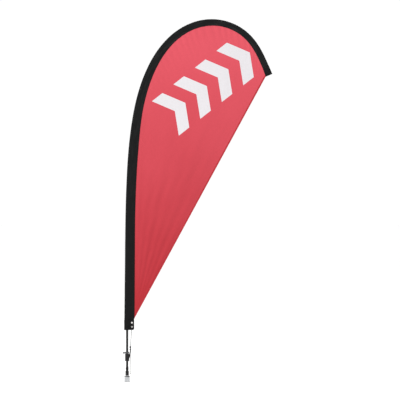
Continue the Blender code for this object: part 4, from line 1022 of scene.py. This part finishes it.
def drill(piece, places, radius):
    """Cuts round holes along Y through a piece, and keeps the cut mesh."""
    bm = bmesh.new()
    for place in places:
        turn = Matrix.Translation(place) @ Matrix.Rotation(math.pi / 2, 4, "X")
        bmesh.ops.create_cone(bm, cap_ends=True, segments=32, radius1=radius, radius2=radius, depth=0.02,
                              matrix=turn)
    cutter = add_object("drill", finished_mesh("drill", bm))
    cut = piece.modifiers.new("holes", "BOOLEAN")
    cut.operation, cut.solver, cut.object = "DIFFERENCE", "EXACT", cutter
    bpy.context.view_layer.update()
    finished = bpy.data.meshes.new_from_object(piece.evaluated_get(bpy.context.evaluated_depsgraph_get()))
    piece.modifiers.clear()
    piece.data = finished
    bpy.data.objects.remove(cutter)


EYELETS = {"lower_eyelet": Vector((0.0285, 0, 0.331)), "upper_eyelet": Vector((0.0285, 0, 0.356))}
cuff = add_piece("sleeve_cuff_webbing", sheet_grid(48, 150, cuff_place,
                                                   lambda u, v: (u * 0.06, v * CUFF_GIRTH)),
                 WEBBING, "pole", ["sleeve_cuff"], smooth=60)
add_wall(cuff, CUFF_WALL, -1)
drill(cuff, EYELETS.values(), 0.0035)
print("cuff after drilling:", len(cuff.data.vertices), "vertices")

# %% Cuff stitches
BOX_LEFT, BOX_RIGHT = 0.0183, 0.0400
CORNER_LOW, CORNER_HIGH, BOX_MIDDLE = 0.3148, 0.3225, 0.3435
CORNER_START = 0.0310
corner_line = [(BOX_LEFT + (CORNER_START - BOX_LEFT) * step / 6, CORNER_LOW) for step in range(7)]
corner_line += [(CORNER_START + (BOX_RIGHT - CORNER_START) * math.sin(turn),
                 CORNER_HIGH - (CORNER_HIGH - CORNER_LOW) * math.cos(turn))
                for turn in (math.pi / 2 * step / 8 for step in range(1, 9))]
box_lines = [[(0.0175, z), (BOX_RIGHT, z)] for z in (CUFF_TOP - 0.003, CUFF_TOP - 0.006)]
box_lines += [[(x, CUFF_TOP - 0.006), (x, CORNER_HIGH)] for x in (BOX_LEFT, BOX_RIGHT)]
box_lines += [corner_line, [(BOX_LEFT, BOX_MIDDLE), (BOX_RIGHT, BOX_MIDDLE)]]
cuff_thread_bm = bmesh.new()
for side in (-1, 1):
    for line in box_lines:
        sew(cuff_thread_bm, [(x, side * (TAB_HALF + 0.0001), z) for x, z in line], (0, side, 0))
add_piece("cuff_stitches", cuff_thread_bm, BLACK_THREAD, "pole")

# %% Tip pocket
POCKET_FOOT = SLEEVE_HEAD + 0.0003
POCKET_ROOM = 0.0046
FLATTEN_FROM, FLATTEN_TO = POCKET_END - 0.014, POCKET_END - 0.004


def pocket_place(u, v):
    at = POCKET_FOOT + (POCKET_END - POCKET_FOOT) * u
    closing = eased(clamped((at - FLATTEN_FROM) / (FLATTEN_TO - FLATTEN_FROM)))
    spot, _ = teardrop(v, POCKET_ROOM + POCKET_WALL, 0.0, sleeve_edge(at), SEAM_HALF)
    height = math.copysign(min(abs(spot.y), SEAM_HALF + 0.0002), spot.y)
    point, inward = pole_frame(at)
    return point + inward * spot.x + Vector((0, spot.y + (height - spot.y) * closing, 0))


pocket_bm = sheet_grid(60, 60, pocket_place, lambda u, v: (u * 0.057, v * 0.085))
pocket = add_piece("tip_pocket_webbing", pocket_bm, WEBBING, "pole", ["tip_pocket"],
                   smooth=60)
add_wall(pocket, 0.0009, -1)
pocket_thread_bm = seam_rows(POCKET_FOOT + 0.002, POCKET_END - 0.002, (0.0016, 0.0050), SEAM_HALF + 0.0001)
for back in (0.0020, 0.0048):
    for side in (-1, 1):
        point, inward = pole_frame(POCKET_END - back)
        lift = Vector((0, side * (SEAM_HALF + 0.0003), 0))
        row = [point + inward * reach + lift for reach in (-0.0050, sleeve_edge(POCKET_END - back) - 0.001)]
        sew(pocket_thread_bm, row, (0, side, 0))
add_piece("pocket_stitches", pocket_thread_bm, BLACK_THREAD, "pole")

# %% [markdown]
# ## Eyelets
# An eyelet is a thin tube whose front is rolled into a rounded flange. A washer goes on behind, and the
# tube's end is rolled back over it. Both are spun, then laid on their side in the tab.

# %% Eyelets and washers
EYELET_FRONT = ((0.0024, -0.0027), (0.0024, 0.0020), (0.0026, 0.0025), (0.0031, 0.0028), (0.0038, 0.0028),
                (0.0047, 0.0025), (0.0053, 0.0020), (0.0055, 0.0016), (0.0051, 0.0017), (0.0036, 0.0018),
                (0.0033, 0.0015), (0.0032, -0.0024), (0.0038, -0.0027), (0.0040, -0.0030),
                (0.0034, -0.0032), (0.0028, -0.0031))
WASHER = ((0.0034, -0.0017), (0.0055, -0.0017), (0.0055, -0.0020), (0.0051, -0.0024), (0.0040, -0.0027),
          (0.0034, -0.0026))
for name, place in EYELETS.items():
    lay_down = Matrix.Translation(place) @ Matrix.Rotation(math.pi / 2, 4, "X")
    for piece_name, profile, node in ((f"{name}_rolled", EYELET_FRONT, name),
                                      (f"{name}_back", WASHER, f"{name}_washer")):
        bm = turned(profile, 48)
        bmesh.ops.transform(bm, verts=bm.verts, matrix=lay_down)
        add_piece(piece_name, bm, NICKEL, "pole", [node], bevel=0.0001)

# %% [markdown]
# ## Collar, clamp and hook
# The collar is moulded nylon: a thick ring with a thinner slit neck, and an arm that curves up to a ball so
# that the cord can't slip off. The ring is spun, the neck is spun only part of the way to leave its slit,
# and the arm is a circle swept up its own curve. A steel band round the neck is drawn tight by a thumb
# screw through its two ears.

# %% Hook collar
COLLAR_PROFILE = ((0.0074, 0.1260), (0.0120, 0.1260), (0.0127, 0.1263), (0.0130, 0.1270), (0.0130, 0.1345),
                  (0.0127, 0.1352), (0.0127, 0.1588), (0.0130, 0.1595), (0.0130, 0.1670), (0.0127, 0.1677),
                  (0.0120, 0.1680), (0.0074, 0.1680))
NECK_PROFILE = ((0.0074, 0.1675), (0.0100, 0.1675), (0.0100, 0.1812), (0.0096, 0.1820), (0.0077, 0.1820),
                (0.0074, 0.1817))
NECK_SLIT, NECK_MIDDLE = 0.002, 0.0087     # the slit's width, and the radius it is measured at
HOOK_ARM = ((0.0098, 0.1345), (0.0120, 0.1480), (0.0158, 0.1660), (0.0192, 0.1830), (0.0195, 0.1970),
            (0.0192, 0.2090))
HOOK_RADII = ((0.1345, 0.0018), (0.148, 0.0037), (0.158, 0.0041), (0.183, 0.0034), (0.197, 0.0030),
              (0.204, 0.0029), (0.209, 0.0038))
HOOK_BALL, HOOK_BALL_RADIUS = (0.0192, 0, 0.210), 0.006

collar_bm = turned(COLLAR_PROFILE, 72)
opening = 2 * math.asin(NECK_SLIT / 2 / NECK_MIDDLE)
neck_bm = turned(NECK_PROFILE, 60, math.tau - opening)
bmesh.ops.rotate(neck_bm, verts=neck_bm.verts, cent=(0, 0, 0),
                 matrix=Matrix.Rotation(math.pi + opening / 2, 3, "Z"))
collar_bm.from_mesh(finished_mesh("neck", neck_bm))
arm_points, arm_length = smooth_route([(x, 0, z) for x, z in HOOK_ARM], 0.0016)
arm_radii = [along_pairs(HOOK_RADII, point.z) for point in arm_points]
sweep(collar_bm, arm_points, arm_radii, 24)
bmesh.ops.create_uvsphere(collar_bm, u_segments=40, v_segments=24, radius=HOOK_BALL_RADIUS,
                          matrix=Matrix.Translation(HOOK_BALL))
add_piece("hook_collar_moulding", collar_bm, PLASTIC, "collar", ["hook_collar"], weld=1e-7)
print("hook arm:", round(arm_length, 4), "m")

# %% Clamp band
BAND_MIDDLE, BAND_RISE = 0.175, 0.008
BAND_INNER, BAND_WALL = 0.0103, 0.0010
EAR_END, EAR_GAP = 0.0265, 0.0036
ear_turn = math.asin(EAR_GAP / 2 / BAND_INNER)
band_line = [Vector((-EAR_END, EAR_GAP / 2, 0)), Vector((-EAR_END + 0.006, EAR_GAP / 2, 0))]
for index in range(73):
    turn = math.pi - ear_turn - (math.tau - 2 * ear_turn) * index / 72
    band_line.append(Vector((BAND_INNER * math.cos(turn), BAND_INNER * math.sin(turn), 0)))
band_line += [Vector((-EAR_END + 0.006, -EAR_GAP / 2, 0)), Vector((-EAR_END, -EAR_GAP / 2, 0))]
band_bm = bmesh.new()
band_verts = [band_bm.verts.new(point + Vector((0, 0, BAND_MIDDLE - BAND_RISE / 2))) for point in band_line]
band_edges = [band_bm.edges.new(pair) for pair in zip(band_verts, band_verts[1:])]
band_top = grown_verts(bmesh.ops.extrude_edge_only(band_bm, edges=band_edges))
bmesh.ops.translate(band_bm, verts=band_top, vec=(0, 0, BAND_RISE))
bmesh.ops.recalc_face_normals(band_bm, faces=band_bm.faces)
round_face = max(band_bm.faces, key=lambda face: face.calc_center_median().x)
if round_face.normal.x > 0:
    bmesh.ops.reverse_faces(band_bm, faces=band_bm.faces)
bmesh.ops.solidify(band_bm, geom=band_bm.faces[:], thickness=BAND_WALL)
ear_corners = [edge for edge in band_bm.edges
               if all(vert.co.x < -EAR_END + 1e-4 for vert in edge.verts)
               and abs(edge.verts[0].co.z - edge.verts[1].co.z) < 1e-5
               and abs(edge.verts[0].co.y - edge.verts[1].co.y) > 5e-4]
bmesh.ops.bevel(band_bm, geom=ear_corners, offset=0.0022, affect="EDGES", segments=5, profile=0.5,
                material=-1)
band = add_piece("clamp_band_strip", band_bm, CLAMP_STEEL, "collar", ["clamp_band"],
                 bevel=0.00015, smooth=30)
print("band's box:", [round(value, 4) for value in (*band.bound_box[0], *band.bound_box[6])])

# %% Thumb screw and nut
SCREW_X = -0.0195
EAR_FACE = EAR_GAP / 2 + BAND_WALL + 0.0003
SCREW_PROFILE = ((0.0, 0.0069), (0.0012, 0.0069), (0.0017, 0.0064), (0.0018, 0.0060), (0.0018, -EAR_FACE),
                 (0.0046, -EAR_FACE), (0.0052, -EAR_FACE - 0.0005), (0.0052, -0.0070), (0.0047, -0.0076),
                 (0.0034, -0.0076), (0.0030, -0.0073), (0.0, -0.0073))
KNURL_FROM, KNURL_DEPTH = 0.0050, 0.93     # every second point of the rim moves in
screw_bm = turned(SCREW_PROFILE, 60)
for vert in (vert for vert in screw_bm.verts if math.hypot(vert.co.x, vert.co.y) > KNURL_FROM):
    if round(math.atan2(vert.co.y, vert.co.x) / math.tau * 60) % 2:
        vert.co.x, vert.co.y = vert.co.x * KNURL_DEPTH, vert.co.y * KNURL_DEPTH
lay_down = Matrix.Translation((SCREW_X, 0, BAND_MIDDLE)) @ Matrix.Rotation(-math.pi / 2, 4, "X")
bmesh.ops.transform(screw_bm, verts=screw_bm.verts, matrix=lay_down)
add_piece("thumb_screw", screw_bm, CLAMP_STEEL, "clamp_screw", ["clamp_screw"],
          bevel=0.00008, smooth=30)
nut_bm = turned(((0.0019, EAR_FACE), (0.0036, EAR_FACE), (0.0036, EAR_FACE + 0.0026),
                 (0.0019, EAR_FACE + 0.0026)), 6)
bmesh.ops.transform(nut_bm, verts=nut_bm.verts, matrix=lay_down)
add_piece("clamp_nut_hexagon", nut_bm, CLAMP_STEEL, "collar", ["clamp_nut"], bevel=0.0003,
          smooth=30)

# %% [markdown]
# ## Pole and its foot
# Only the lowest tube of the pole is seen, between the cuff and the foot. It is spun as a straight tube and
# then laid along the pole's curve. The foot is a moulded ferrule with a stepped waist.

# %% Lower tube
TUBE_OUTER, TUBE_INNER, TUBE_FOOT = 0.0070, 0.0062, 0.0426
tube_stations = [TUBE_FOOT, 0.20, 0.40, 0.60, 0.80] + [POLE_STRAIGHT + 0.010 * step for step in range(11)]
tube_profile = [(TUBE_OUTER, at) for at in tube_stations]
tube_profile += [(TUBE_INNER, at) for at in reversed(tube_stations)]
tube_bm = turned(tube_profile, 56)
for vert in tube_bm.verts:
    point, inward = pole_frame(vert.co.z)
    vert.co = point + inward * vert.co.x + Vector((0, vert.co.y, 0))
add_piece("lower_pole_tube", tube_bm, TUBE, "pole", ["pole_lower"])

# %% Foot ferrule
FOOT_PROFILE = ((0.0060, 0.0393), (0.0096, 0.0393), (0.0103, 0.0397), (0.0105, 0.0405), (0.0105, 0.0470),
                (0.0101, 0.0474), (0.0101, 0.0486), (0.0105, 0.0490), (0.0105, 0.0650), (0.0102, 0.0659),
                (0.0095, 0.0663), (0.0077, 0.0666), (0.0073, 0.0674), (0.0079, 0.0720), (0.0085, 0.0765),
                (0.0087, 0.0800), (0.0085, 0.0850), (0.0079, 0.0890), (0.0073, 0.0912), (0.0071, 0.0913),
                (0.0071, 0.0423), (0.0060, 0.0423))
add_piece("pole_foot_ferrule", turned(FOOT_PROFILE, 72), PLASTIC, "pole", ["pole_foot"])

# %% [markdown]
# ## Bearing housing, spindle and spike
# The pole stands on a spindle that two ball bearings hold in a zinc-plated housing, so the flag turns with
# the wind. The housing is welded to a long spike with four fins that stop it turning in the ground. The
# turned parts are spun from their real profiles, and each fin gets a rippled bead of weld.

# %% Housing and cap
HOUSING_PROFILE = ((0.0083, 0.0), (0.0150, 0.0), (0.0161, 0.0004), (0.0165, 0.0014), (0.0165, 0.0060),
                   (0.0161, 0.0064), (0.0161, 0.0074), (0.0165, 0.0078), (0.0165, 0.0240), (0.0161, 0.0244),
                   (0.0161, 0.0254), (0.0165, 0.0258), (0.0165, 0.0312), (0.0161, 0.0318), (0.0154, 0.0320),
                   (0.0143, 0.0320), (0.0143, 0.0050), (0.0083, 0.0050))
CAP_PROFILE = ((0.0073, 0.0323), (0.0158, 0.0323), (0.0164, 0.0327), (0.0165, 0.0333), (0.0165, 0.0348),
               (0.0162, 0.0355), (0.0155, 0.0359), (0.0092, 0.0359), (0.0088, 0.0357), (0.0082, 0.0358),
               (0.0073, 0.0359))
add_piece("bearing_housing_shell", turned(HOUSING_PROFILE, 96), ZINC, "stake",
          ["bearing_housing"])
add_piece("housing_cap_moulding", turned(CAP_PROFILE, 96), PLASTIC, "stake", ["housing_cap"])

# %% Spindle and rubber rings
RUBBER_RINGS = {"lower": 0.061, "upper": 0.131}
SPINDLE_PROFILE = [(0.0, 0.0036), (0.0060, 0.0036), (0.0060, 0.0316), (0.0069, 0.0318), (0.0069, 0.0362),
                   (0.0100, 0.0362), (0.0104, 0.0366), (0.0104, 0.0386), (0.0100, 0.0390), (0.0062, 0.0390),
                   (0.0057, 0.0395)]
for height in RUBBER_RINGS.values():
    SPINDLE_PROFILE += [(0.0057, height - 0.0008), (0.0046, height - 0.0007), (0.0046, height + 0.0007),
                        (0.0057, height + 0.0008)]
SPINDLE_PROFILE += [(0.0057, 0.1520), (0.0051, 0.1533), (0.0037, 0.1540), (0.0, 0.1540)]
add_piece("spindle_shaft", turned(SPINDLE_PROFILE, 64), TURNED_STEEL, "spindle", ["spindle"],
          smooth=30)
for name, height in RUBBER_RINGS.items():
    add_piece(f"{name}_rubber_ring", turned(ring_profile(0.00535, height, 0.0005), 48), RUBBER, "spindle",
              [f"{name}_o_ring"])

# %% Spike shank, fins and weld
SHANK_PROFILE = ((0.0, 0.0027), (0.0078, 0.0027), (0.0080, 0.0020), (0.0080, -0.4160), (0.0078, -0.4210),
                 (0.0012, -0.4785), (0.0, -0.4800))
add_piece("spike_shank_bar", turned(SHANK_PROFILE, 48), ZINC, "stake", ["spike_shank"])
FIN_OUTLINE = ((0.0083, -0.0200), (0.0270, -0.0200), (0.0300, -0.0230), (0.0300, -0.1483),
               (0.0083, -0.1700))
FIN_HALF = 0.0015
WELD_PITCH, WELD_COUNT = 0.0016, 88
weld_radii = [0.0012 + 0.00022 * math.sin(step * 1.9) for step in range(WELD_COUNT)]
for index in range(4):
    turn = Matrix.Rotation(math.tau * (index + 0.5) / 4, 4, "Z")
    fin_bm = bmesh.new()
    plate = fin_bm.faces.new([fin_bm.verts.new((x, -FIN_HALF, z)) for x, z in FIN_OUTLINE])
    far_face = grown_verts(bmesh.ops.extrude_face_region(fin_bm, geom=[plate]))
    bmesh.ops.translate(fin_bm, verts=far_face, vec=(0, 2 * FIN_HALF, 0))
    bmesh.ops.transform(fin_bm, verts=fin_bm.verts, matrix=turn)
    add_piece(f"spike_fin_plate_{index + 1}", fin_bm, ZINC, "stake",
              [f"spike_fin_{index + 1}"], bevel=0.0004, smooth=30)
    weld_bm = bmesh.new()
    for side in (-1, 1):
        bead = [turn @ Vector((0.0079, side * 0.0019, -0.024 - WELD_PITCH * step))
                for step in range(WELD_COUNT)]
        sweep(weld_bm, bead, weld_radii, 8)
    add_piece(f"fin_weld_{index + 1}", weld_bm, ZINC, "stake")
